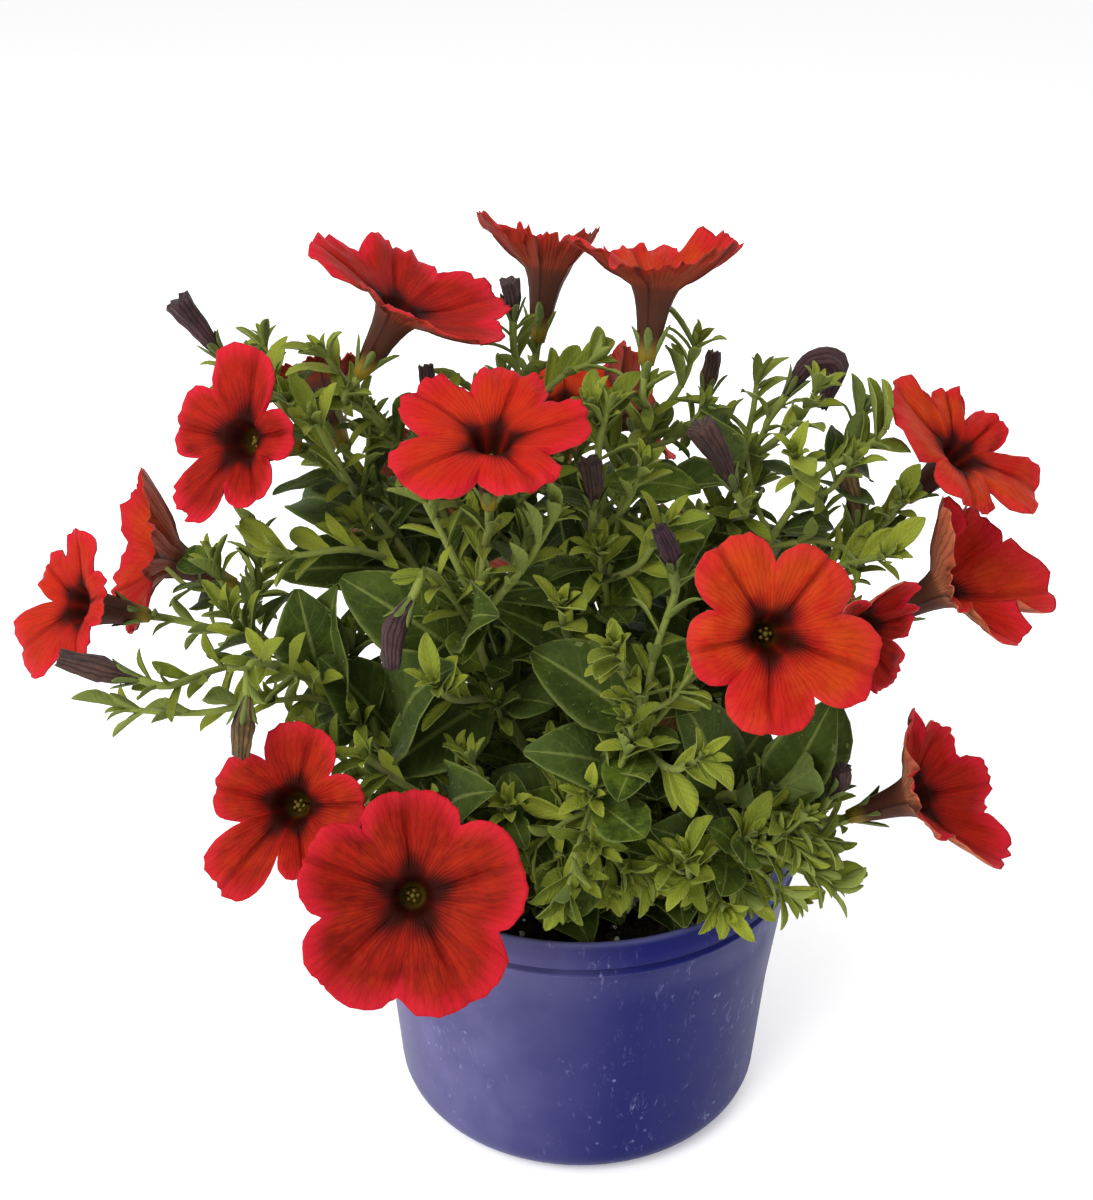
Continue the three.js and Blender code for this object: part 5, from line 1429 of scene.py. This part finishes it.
def bloom_mesh(name, bloom, index, look, materials):
    """One open bloom: its face with creased, ruffled petals, its outside, and the tube that carries it"""
    throat, out, across, up = bloom_axes(bloom)
    columns = petal_columns(bloom, index)

    def point(radius, turn, height):
        return throat + across * radius * math.cos(turn) + up * radius * math.sin(turn) + out * height

    def limb(share, depth=0):
        """The ring of a face at a share of its radius, that far behind its front"""
        outer = smooth(0.25, 1.0, share)
        ring = []
        for turn, reach, x, lift, _ in columns:
            radius = lerp(THROAT_RADIUS, bloom.radius * reach, share)
            height = limb_height(bloom, share, turn) + lift * outer
            middle = math.sin(math.pi * min(share * 1.15, 1.0)) + 0.35 * share
            height -= look.crease * ridge(x, 0.1) * middle
            height += look.bulge * math.sin(math.pi * min(abs(x), 1.0)) * smooth(0.1, 0.7, share)
            wild = noise.noise(Vector((3.1 * index, 6 * turn, 2.2 * share)))
            fine = noise.noise(Vector((7.7 * index, 15 * turn, 4 * share)))
            height += bloom.ruffle * (1.5 * wild + 0.8 * fine) * outer * share
            ragged = 1 + 0.035 * fine * smooth(0.8, 1.0, share)
            ring.append(point(radius * ragged, turn, height - depth))
        return ring

    def pipe(radius, height, rib=0.0):
        return [point(radius * (1 + rib * ridge(x, 0.25)), turn, height) for turn, _, x, _, _ in columns]

    rings = [[throat - out * 17], *(pipe(*row) for row in INNER_TUBE), *(limb(share) for share in SHARES)]
    turned = len(rings) - 1
    backs = [share for share in reversed(SHARES) if share > 0.15]
    rings += [limb(share, lerp(FOOT_THICKNESS, look.petal_thickness, share)) for share in backs]
    rings += [pipe(radius, height, 0.05) for radius, height in OUTER_TUBE]
    rings.append([throat - out * TUBE_LENGTH])
    along = [0.3, 0.34, 0.38, 0.42, 0.46, *(0.5 + 0.5 * share for share in (*SHARES, *backs))]
    along += [*(0.5 * (1 + height / TUBE_LENGTH) for _, height in OUTER_TUBE), 0.0]
    maps = []
    for (_, _, x, _, petal), (_, _, next_x, _, next_petal) in zip(columns, columns[1:] + columns[:1]):
        passed = petal if next_petal == petal else petal + 1
        maps.append(((petal + (x + 1) / 2) / PETALS, (passed + (next_x + 1) / 2) / PETALS))
    mesh = shell(name, rings, materials, maps, along, lambda band: 0 if band < turned else 1)
    tint = TINTS[index] if index < len(TINTS) else PLAIN_TINT
    for key, value in zip(("warmth", "shade", "bleach"), tint):
        mark(mesh, key, [value] * len(mesh.vertices))
    return mesh


def spent_mesh(name, number, finish, sides=20, steps=16):
    """A withered tube: furrowed, twisted, with a crumpled mouth"""
    path, path_radii = SPENT[name]
    rng = random.Random(SPENT_SEED + number)
    run = Run(path, len(path))
    radii = [(i / (len(path_radii) - 1), radius) for i, radius in enumerate(path_radii)]
    first = across_of(run.corner_heading(0.5))
    phase = rng.uniform(0, 6)
    rings = [[run.at(0)]]
    for share in (k / steps for k in range(steps + 1)):
        heading = run.heading(share)
        across = square_to(heading, first)
        third = heading.cross(across)
        radius = of_rows(radii, share)
        ring = []
        for turn in (math.tau * s / sides for s in range(sides)):
            furl = 1 + 0.2 * math.cos(5 * turn + 2.2 * share + phase) * smooth(0.1, 0.5, share)
            furl += 0.16 * noise.noise(Vector((3 * math.cos(turn), 3 * math.sin(turn), 6 * share + number)))
            mouth = smooth(0.85, 1.0, share) * 1.4 * noise.noise(Vector((turn * 2, number, 1)))
            ring.append(run.at(share) + (across * math.cos(turn) + third * math.sin(turn)) * radius * furl
                        + heading * mouth)
        rings.append(ring)
    rings.append([run.at(1) - run.heading(1) * 1.6])
    along = [0] + [k / steps for k in range(steps + 1)] + [1]
    mesh = shell(name, rings, [finish], along=along)
    age = 0.9 if name in OLD_SPENT else rng.uniform(0, 0.35)
    mark(mesh, "warmth", [age] * len(mesh.vertices))
    return mesh


# Sizes and colours that can be changed

def tone(red, green, blue):
    """A colour of 0 to 255 as the shader's numbers"""
    return tuple((c / 255 / 12.92) if c <= 10 else ((c / 255 + 0.055) / 1.055) ** 2.4
                 for c in (red, green, blue))


def colour_prop(name, about, rgb):
    return FloatVectorProperty(name=name, description=about, default=tone(*rgb), subtype="COLOR", size=3,
                               min=0.0, max=1.0)


def number_prop(name, about, default, least=0.0, **settings):
    return FloatProperty(name=name, description=about, default=default, min=least, **settings)


def share_prop(name, about, default):
    return number_prop(name, about, default, max=1.0, subtype="FACTOR")


def power_prop(name, about, default):
    return number_prop(name, about, default, subtype="POWER", unit="POWER")


def count_prop(name, about, default, least=0):
    return IntProperty(name=name, description=about, default=default, min=least)


class PotLook(bpy.types.PropertyGroup):
    plastic: colour_prop("Plastic", "Blue-violet plastic of the pot", (15, 19, 84))
    plastic_dusty: colour_prop("Dusty plastic", "Plastic under a thin film of dust", (22, 25, 91))
    # This milky colour is a painted highlight, the key light's sheen on the pot's front-left side
    plastic_painted_sheen: colour_prop("Milky film", "Painted milky highlight on the pot's front-left side", (126, 121, 166))
    plastic_scuff: colour_prop("Scuffs", "Pale scuffs and grit on the pot", (150, 152, 196))
    sides: count_prop("Sides", "Columns of faces round the pot and the soil", 96, 24)


class SoilLook(bpy.types.PropertyGroup):
    dark: colour_prop("Dark soil", "Damp peat", (26, 20, 15))
    pale: colour_prop("Pale soil", "Drier crumbs and bark", (62, 48, 36))
    perlite: colour_prop("Perlite", "White grains in the soil", (214, 210, 198))
    perlite_grey: colour_prop("Grey perlite", "Greyer side of the white grains", (176, 170, 156))
    crumb_density: number_prop("Crumbs", "Crumbs on a square metre of soil", 150000.0)
    perlite_density: number_prop("Perlite grains", "White grains on a square metre of soil", 9000.0)
    seed: count_prop("Seed", "Seed of everything thrown on the soil", 7)


class PlantLook(bpy.types.PropertyGroup):
    leaf: colour_prop("Leaf", "Full-grown leaf", (74, 90, 22))
    leaf_dark: colour_prop("Dark leaf", "Darker patches of a leaf", (40, 54, 12))
    leaf_grey: colour_prop("Grey leaf", "Felted surface of the oldest leaves", (46, 58, 18))
    # This colour is a painted highlight: the pale grey-green sheen of broad leaves that face the light
    leaf_painted_sheen: colour_prop("Felted leaf", "Large leaves painted with a pale grey-green sheen", (68, 84, 36))
    leaf_dry: colour_prop("Dry leaf", "Dried leaves low in the plant", (106, 78, 40))
    leaf_young: colour_prop("Young leaf", "Young leaves in the tufts", (136, 144, 46))
    leaf_pale: colour_prop("Pale veins", "Midribs, margins, hairs and painted rim highlights of leaves", (140, 150, 78))
    # On the leaves' rims this pale colour is also a painted highlight
    leaf_under: colour_prop("Underside", "Underside of leaves", (112, 126, 70))
    stem: colour_prop("Stem", "Green of stems and stalks", (108, 118, 46))
    stem_brown: colour_prop("Brown stem", "Purple-brown patches of stems", (84, 58, 46))
    fuzz: colour_prop("Hairs", "Fine hairs on stems and leaves", (196, 202, 158))
    shoot_step: number_prop("Shoot step", "Stem length to each small shoot, in millimetres", 21.0, 5.0)
    leaf_step: number_prop("Leaf step", "Stem length to each further leaf, in millimetres", 9.0, 3.0)
    low_shoots: count_prop("Low shoots", "Shoots of each low stem towards the rim", 5)
    low_leaves: count_prop("Low leaves", "Large leaves near the foot of each stem", 8)
    fuzz_density: number_prop("Hair density", "Hairs on a square metre of stem and leaf", 60000.0)
    bare_stalk: number_prop("Bare stalk", "Longest stalk without leaves, in millimetres", 14.0)
    leaf_width: number_prop("Leaf width", "Width of small leaves, as a share of the solids'", 1.15, 0.5)
    broad_width: number_prop("Broad leaf width", "Width of large leaves, as a share of the solids'", 1.4, 0.5)
    # The share of broad leaves that get the painted pale sheen
    painted_sheen_share: share_prop("Felted leaves", "Share of the large leaves painted with a pale sheen", 0.3)
    dry: share_prop("Dry leaves", "Share of the low leaves that have dried", 0.1)
    seed: count_prop("Seed", "Seed of the further growth", 3)


class PetalLook(bpy.types.PropertyGroup):
    body: colour_prop("Petal", "Red of the petals", (176, 29, 17))
    warm: colour_prop("Warm petal", "Orange where the petals are warmest", (190, 64, 18))
    # This rim colour is partly the petals' own and partly a painted highlight along their edges
    edge: colour_prop("Petal edge", "Rose edge of the petals", (184, 27, 42))
    # This colour also carries the painted shade of under-lit blooms
    dusk: colour_prop("Petal shade", "Browner patches of the petals", (98, 14, 6))
    vein: colour_prop("Veins", "Veins and midlines of the petals", (84, 7, 5))
    throat: colour_prop("Throat", "Dark star in the throat", (30, 8, 4))
    heart: colour_prop("Heart", "Yellow-green deep in the throat and at the tube's foot", (168, 146, 44))
    outside: colour_prop("Outside", "Salmon outside of bleached petals", (184, 112, 78))
    back: colour_prop("Back", "Red-brown outside of fresh petals", (124, 38, 20))
    tube: colour_prop("Tube", "Dull brown outside of the tube", (70, 38, 24))
    rib: colour_prop("Ribs", "Dark ribs outside the tube", (48, 20, 18))
    stigma: colour_prop("Stigma", "Knob of the pistil", (112, 100, 34))
    stigma_shade: colour_prop("Stigma shade", "Darker side of the knob", (72, 64, 22))
    anther: colour_prop("Anthers", "Five grains round the pistil", (128, 104, 40))
    anther_shade: colour_prop("Anther shade", "Darker side of the grains", (84, 62, 24))
    withered: colour_prop("Spent", "Dark purple of spent blooms", (62, 38, 48))
    withered_dark: colour_prop("Spent shade", "Furrows of spent blooms", (28, 18, 22))
    withered_tan: colour_prop("Spent tan", "Olive-brown of the oldest spent blooms", (112, 88, 48))
    crease: number_prop("Crease", "Depth of the midline crease, in millimetres", 0.9)
    bulge: number_prop("Bulge", "Rise of each half petal, in millimetres", 0.9)
    petal_thickness: number_prop("Petal thickness", "At the rim, in millimetres", 0.4, 0.2)


class StageLook(bpy.types.PropertyGroup):
    floor: colour_prop("Floor", "Pale floor", (246, 246, 246))
    floor_glow: number_prop("Floor glow", "Light of its own that keeps the floor white", 0.2)
    key_power: power_prop("Key light", "Power of the large soft light", 18.0)
    fill_power: power_prop("Fill light", "Power of the fill light", 1.0)
    back_power: power_prop("Back light", "Power of the light behind the plant", 7.0)
    sky: number_prop("Surroundings", "Brightness of the white surroundings", 0.8)
    pitch: number_prop("Camera pitch", "How far the camera looks down", math.radians(26.5), subtype="ANGLE",
                       unit="ROTATION")
    lens: number_prop("Lens", "Focal length of the camera, in millimetres", 51.0, 10.0,
                      subtype="DISTANCE_CAMERA")


class PetchoaLooks(bpy.types.PropertyGroup):
    pot: PointerProperty(type=PotLook, name="Pot", description="Finish of the pot")
    soil: PointerProperty(type=SoilLook, name="Soil", description="Finish of the soil")
    plant: PointerProperty(type=PlantLook, name="Plant", description="Leaves and stems")
    petals: PointerProperty(type=PetalLook, name="Petals", description="Blooms and spent blooms")
    stage: PointerProperty(type=StageLook, name="Stage", description="Floor, lights and camera")


# Operators

CAMERA_PLACE = (-0.0099, -0.427, 0.375)
LIT_POINT = Vector((0, 0, 0.13))


class PETCHOA_OT_stage(bpy.types.Operator):
    """Lay the floor, hang the lights and set the camera"""
    bl_idname = "petchoa.stage"
    bl_label = "Stage"

    def execute(self, context):
        scene = context.scene
        look = scene.petchoa.stage
        camera = show("camera", bpy.data.cameras.new("camera"))
        camera.location = CAMERA_PLACE
        camera.rotation_euler = (math.pi / 2 - look.pitch, 0, 0)
        camera.data.lens = look.lens
        camera.data.clip_start = 0.01
        scene.camera = camera
        scene.view_settings.view_transform = "Standard"
        bpy.ops.mesh.primitive_plane_add(size=8)
        floor = context.object
        floor.name = "floor"
        material, _ = new_material("floor", look.floor)
        floor.data.materials.append(finished(material, look.floor, 0.9, emission_color=(1, 1, 1, 1),
                                             emission_strength=look.floor_glow))
        for name, place, size, power in (("key_light", (-0.7, -0.75, 1.05), 0.9, look.key_power),
                                         ("fill_light", (0.9, -0.5, 0.6), 1.0, look.fill_power),
                                         ("back_light", (0.55, 0.85, 0.75), 1.2, look.back_power)):
            light = show(name, bpy.data.lights.new(name, "AREA"))
            light.data.energy = power
            light.data.size = size
            light.location = place
            light.rotation_euler = (LIT_POINT - light.location).to_track_quat("-Z", "Y").to_euler()
        scene.world = bpy.data.worlds.new("surroundings")
        scene.world.use_nodes = True
        set_inputs(scene.world.node_tree.nodes["Background"], {0: (1, 1, 1, 1), 1: look.sky})
        return {"FINISHED"}


def pot_profile():
    """The half section of the pot, from the middle of its underside round the lip to its inner floor"""
    flat = BASE_RADIUS - BASE_CORNER
    rim, groove, lip, top = RIM_RADIUS, GROOVE_HEIGHT, LIP_RADIUS, POT_HEIGHT
    corner = [(flat + BASE_CORNER * math.sin(turn), BASE_CORNER * (1 - math.cos(turn)))
              for turn in (math.pi / 2 * i / 7 for i in range(1, 8))]
    thirds = (1 / 3, 2 / 3, 1.0)
    lower = [(lerp(BASE_RADIUS, WAIST_RADIUS, k), lerp(BASE_CORNER, WAIST_HEIGHT, k)) for k in thirds]
    upper = [(lerp(WAIST_RADIUS, rim - WALL, k), lerp(WAIST_HEIGHT, groove - 3.4, k)) for k in thirds]
    band = [(rim - 0.5, groove - 2.3), (rim, groove - 1.5), (rim - 0.3, groove - 1.0),
            (rim - 1.3, groove - 0.6), (rim - 1.3, groove - 0.1), (rim - 0.5, groove + 0.3),
            (rim - 0.1, groove + 1.0), (rim - 0.9, groove + 3.4)]
    rolled = [(lip + 1.2, top - 1.4), (lip + 0.7, top - 0.4), (lip, top), (lip - 0.7, top - 0.4),
              (lip - 0.9, top - 1.4)]
    inside = [(lip - 0.5, groove - 1.7), (WAIST_RADIUS - WALL, WAIST_HEIGHT),
              (BASE_RADIUS - WALL, BASE_CORNER), (flat, FLOOR), (0, FLOOR)]
    return [(0, 0), (flat, 0), *corner, *lower, *upper, *band, *rolled, *inside]


class PETCHOA_OT_pot(bpy.types.Operator):
    """Turn the pot as one smooth thin shell with its groove, band, lip and drain holes"""
    bl_idname = "petchoa.pot"
    bl_label = "Pot"

    def execute(self, context):
        look = context.scene.petchoa.pot
        rings = [circle(radius, height, look.sides if radius else 1) for radius, height in pot_profile()]
        pot = show("pot_shell", shell("pot_shell", rings, [pot_material(look)]))
        for x, y, _ in circle(DRAIN_CIRCLE * MM, 0, DRAIN_COUNT):
            bpy.ops.mesh.primitive_cylinder_add(vertices=32, radius=DRAIN_RADIUS * MM, depth=0.01,
                                                location=(x, y, 0))
            drill = context.object
            hole = pot.modifiers.new("drain", "BOOLEAN")
            hole.object = drill
            hole.solver = "EXACT"
            context.view_layer.objects.active = pot
            bpy.ops.object.modifier_apply(modifier=hole.name)
            bpy.data.objects.remove(drill)
        keep(pot, "pot", "pot")
        return {"FINISHED"}


class PETCHOA_OT_soil(bpy.types.Operator):
    """Fill the pot with soil, and throw crumbs and perlite on it"""
    bl_idname = "petchoa.soil"
    bl_label = "Soil"

    def execute(self, context):
        look, sides = context.scene.petchoa.soil, context.scene.petchoa.pot.sides
        shares = [k / (SURFACE_RINGS - 1) for k in range(SURFACE_RINGS)]
        rings = self.filling(sides) + [self.surface_ring(share, sides) for share in shares]
        rings.append([Vector((0, 0, SOIL_TOP + 0.8))])
        bed = show("soil_bed", shell("soil_bed", rings, [soil_material(look, "soil_bed")]))
        keep(bed, "soil", "soil")
        self.litter(context, look, bed)
        return {"FINISHED"}

    def filling(self, sides):
        """The rings of the soil that the pot hides"""
        bottom = FLOOR + 0.3
        rows = ((0, bottom), (BASE_RADIUS - BASE_CORNER - 1, bottom),
                (BASE_RADIUS - WALL - 1.2, BASE_CORNER + 1), (WAIST_RADIUS - WALL - 1, WAIST_HEIGHT),
                (LIP_RADIUS - 2.0, SOIL_TOP - 6))
        return [circle(radius, height, sides if radius else 1) for radius, height in rows]

    def surface_ring(self, share, sides):
        """A ring of the uneven top, from the wall inwards"""
        radius = lerp(LIP_RADIUS - 1.6, 2.0, share)
        ring = []
        for s in range(sides):
            x, y = radius * math.cos(math.tau * s / sides), radius * math.sin(math.tau * s / sides)
            wave = SOIL_WAVE * (math.sin(x / 9) * math.cos(y / 7 + 1) + 0.4 * math.sin(y / 4))
            rough = 1.3 * noise.fractal(Vector((x / 5, y / 5, 0)), 0.8, 2.1, 4)
            ring.append(Vector((x, y, SOIL_TOP + 0.3 + wave * (radius < 50) + rough)))
        return ring

    def litter(self, context, look, bed):
        """Crumbs and white grains on the top"""
        top = bmesh.new()
        top.from_mesh(bed.data)
        low = [face for face in top.faces if face.calc_center_median().z < (SOIL_TOP - 2.5) * MM]
        bmesh.ops.delete(top, geom=low, context="FACES")
        surface = bpy.data.meshes.new("soil_surface")
        top.to_mesh(surface)
        top.free()
        group = scatter_group("Soil Litter")
        perlite = tinted_material("perlite", look.perlite, look.perlite_grey, 900.0, 0.85)
        kinds = (("soil_crumbs", 1, look.crumb_density, 0.4, 1.5, soil_material(look, "crumb")),
                 ("perlite", 2, look.perlite_density, 0.5, 1.25, perlite))
        for name, detail, density, least, most, material in kinds:
            bpy.ops.mesh.primitive_ico_sphere_add(subdivisions=detail, radius=MM)
            grain = context.object
            for vertex in grain.data.vertices:
                vertex.co *= 1 + 0.45 * noise.noise(vertex.co * 900)
            source = show(name + "_source", surface.copy())
            apply_tree(source, group, {"Shape": grain, "Density": density, "Smallest": least, "Largest": most,
                                       "Tilt": 3.0, "Seed": look.seed, "Finish": material})
            piece = settle(source, name)
            bpy.data.objects.remove(grain)
            keep(piece, "soil")


class PETCHOA_OT_blooms(bpy.types.Operator):
    """Shape the 22 open blooms, each petal creased, veined and ruffled, with its pistil and anthers"""
    bl_idname = "petchoa.blooms"
    bl_label = "Blooms"

    def execute(self, context):
        look = context.scene.petchoa.petals
        materials = [petal_material(look), petal_back_material(look)]
        for index, (name, bloom) in enumerate(BLOOMS.items()):
            keep(show(name + "_petals", bloom_mesh(name, bloom, index, look, materials)), "petal", name)
        self.hearts(look)
        return {"FINISHED"}

    def hearts(self, look):
        """One pistil with five anthers in every throat, joined in one piece"""
        grains = [((0, 0, -STIGMA_DEPTH), STIGMA_RADIUS, 0)]
        for turn in (FIFTH_TURN * i for i in range(PETALS)):
            place = (ANTHER_RING * math.cos(turn), ANTHER_RING * math.sin(turn), -ANTHER_DEPTH)
            grains.append((place, ANTHER_RADIUS, 1))
        work = bmesh.new()
        for bloom in BLOOMS.values():
            throat, out, across, up = bloom_axes(bloom)
            turn = Matrix((across, up, out)).transposed().to_4x4()
            for place, radius, slot in grains:
                centre = Matrix.Translation((throat + turn.to_3x3() @ Vector(place)) * MM) @ turn
                made = bmesh.ops.create_icosphere(work, subdivisions=2, radius=radius * MM, matrix=centre)
                for face in {near for vertex in made["verts"] for near in vertex.link_faces}:
                    face.material_index = slot
                    face.smooth = True
            style = Matrix.Translation((throat - out * STYLE_DEPTH) * MM) @ turn
            bmesh.ops.create_cone(work, cap_ends=True, segments=8, radius1=0.4 * MM, radius2=0.35 * MM,
                                  depth=STYLE_LENGTH * MM, matrix=style)
        mesh = bpy.data.meshes.new("bloom_hearts")
        work.to_mesh(mesh)
        work.free()
        mesh.materials.append(tinted_material("stigma", look.stigma, look.stigma_shade, 1500.0, 0.4))
        mesh.materials.append(tinted_material("anther", look.anther, look.anther_shade, 1800.0, 0.7))
        keep(show("bloom_hearts", mesh), "petal")


class PETCHOA_OT_spent(bpy.types.Operator):
    """Shape the withered blooms and buds"""
    bl_idname = "petchoa.spent"
    bl_label = "Spent blooms"

    def execute(self, context):
        finish = spent_material(context.scene.petchoa.petals)
        for number, name in enumerate(SPENT):
            tube = spent_mesh(name, number, finish)
            keep(show(name + "_tube", tube), "spent_bloom", name)
        return {"FINISHED"}


class PETCHOA_OT_stems(bpy.types.Operator):
    """Grow the 21 leafy stems: wood, leaves, tufts, sepals and hairs"""
    bl_idname = "petchoa.stems"
    bl_label = "Leafy stems"

    def execute(self, context):
        look = context.scene.petchoa.plant
        bark, blade = stem_material(look), leaf_material(look)
        kinds = leaf_prototypes()
        group = leafy_stem_group()
        room = Room()
        pieces = []
        for number, (name, stem) in enumerate(STEMS.items()):
            growth = Growth(stem, number, room, look)
            growth.carry_blooms()
            growth.stand_leaves(node_corners(name))
            growth.grow_further()
            curve = wood_curve(name + "_wood", growth.wood)
            points = leaf_points(name + "_points", growth.spots, number)
            apply_tree(points, group, {"Wood": curve, "Leaf Kinds": kinds, "Stem Sides": STEM_SIDES,
                                       "Bark": bark, "Blade": blade})
            piece = settle(points, name + "_foliage")
            bpy.data.objects.remove(curve)
            keep(piece, "foliage", name)
            pieces.append(piece)
        drop(kinds)
        self.hairs(context, look, pieces)
        return {"FINISHED"}

    def hairs(self, context, look, pieces):
        """Fine hairs on every stem and leaf, one piece for each stem"""
        finish = fuzz_material(look)
        group = scatter_group("Fuzz")
        bpy.ops.mesh.primitive_cone_add(vertices=3, radius1=HAIR_RADIUS * MM, depth=HAIR_LENGTH * MM)
        hair = context.object
        for vertex in hair.data.vertices:
            vertex.co.z += HAIR_LENGTH / 2 * MM
        for number, foliage in enumerate(pieces):
            source = show("fuzz_source", foliage.data.copy())
            apply_tree(source, group, {"Shape": hair, "Density": look.fuzz_density, "Smallest": 0.5,
                                       "Largest": 1.1, "Tilt": 0.5, "Seed": look.seed + number,
                                       "Finish": finish})
            keep(settle(source, foliage.name.replace("foliage", "fuzz")), "foliage")
        bpy.data.objects.remove(hair)


class PETCHOA_PT_looks(bpy.types.Panel):
    """Sizes and colours of the plant, and the steps that make it"""
    bl_idname = "PETCHOA_PT_looks"
    bl_label = "Potted Petchoa"
    bl_space_type = "VIEW_3D"
    bl_region_type = "UI"
    bl_category = "Petchoa"

    def draw(self, context):
        for part in STEPS:
            self.layout.operator(part.bl_idname)
        looks = context.scene.petchoa
        for group in (looks.pot, looks.soil, looks.plant, looks.petals, looks.stage):
            box = self.layout.box()
            for key in group.bl_rna.properties.keys():
                if key not in ("rna_type", "name"):
                    box.prop(group, key)


STEPS = (PETCHOA_OT_stage, PETCHOA_OT_pot, PETCHOA_OT_soil, PETCHOA_OT_blooms, PETCHOA_OT_spent,
         PETCHOA_OT_stems)
CLASSES = (PotLook, SoilLook, PlantLook, PetalLook, StageLook, PetchoaLooks, *STEPS, PETCHOA_PT_looks)


def register():
    for made in CLASSES:
        bpy.utils.register_class(made)
    bpy.types.Scene.petchoa = PointerProperty(type=PetchoaLooks)


def unregister():
    del bpy.types.Scene.petchoa
    for made in reversed(CLASSES):
        bpy.utils.unregister_class(made)


def main():
    register()
    bpy.ops.petchoa.stage()
    bpy.ops.petchoa.pot()
    bpy.ops.petchoa.soil()
    bpy.ops.petchoa.blooms()
    bpy.ops.petchoa.spent()
    bpy.ops.petchoa.stems()


if __name__ == "__main__":
    main()
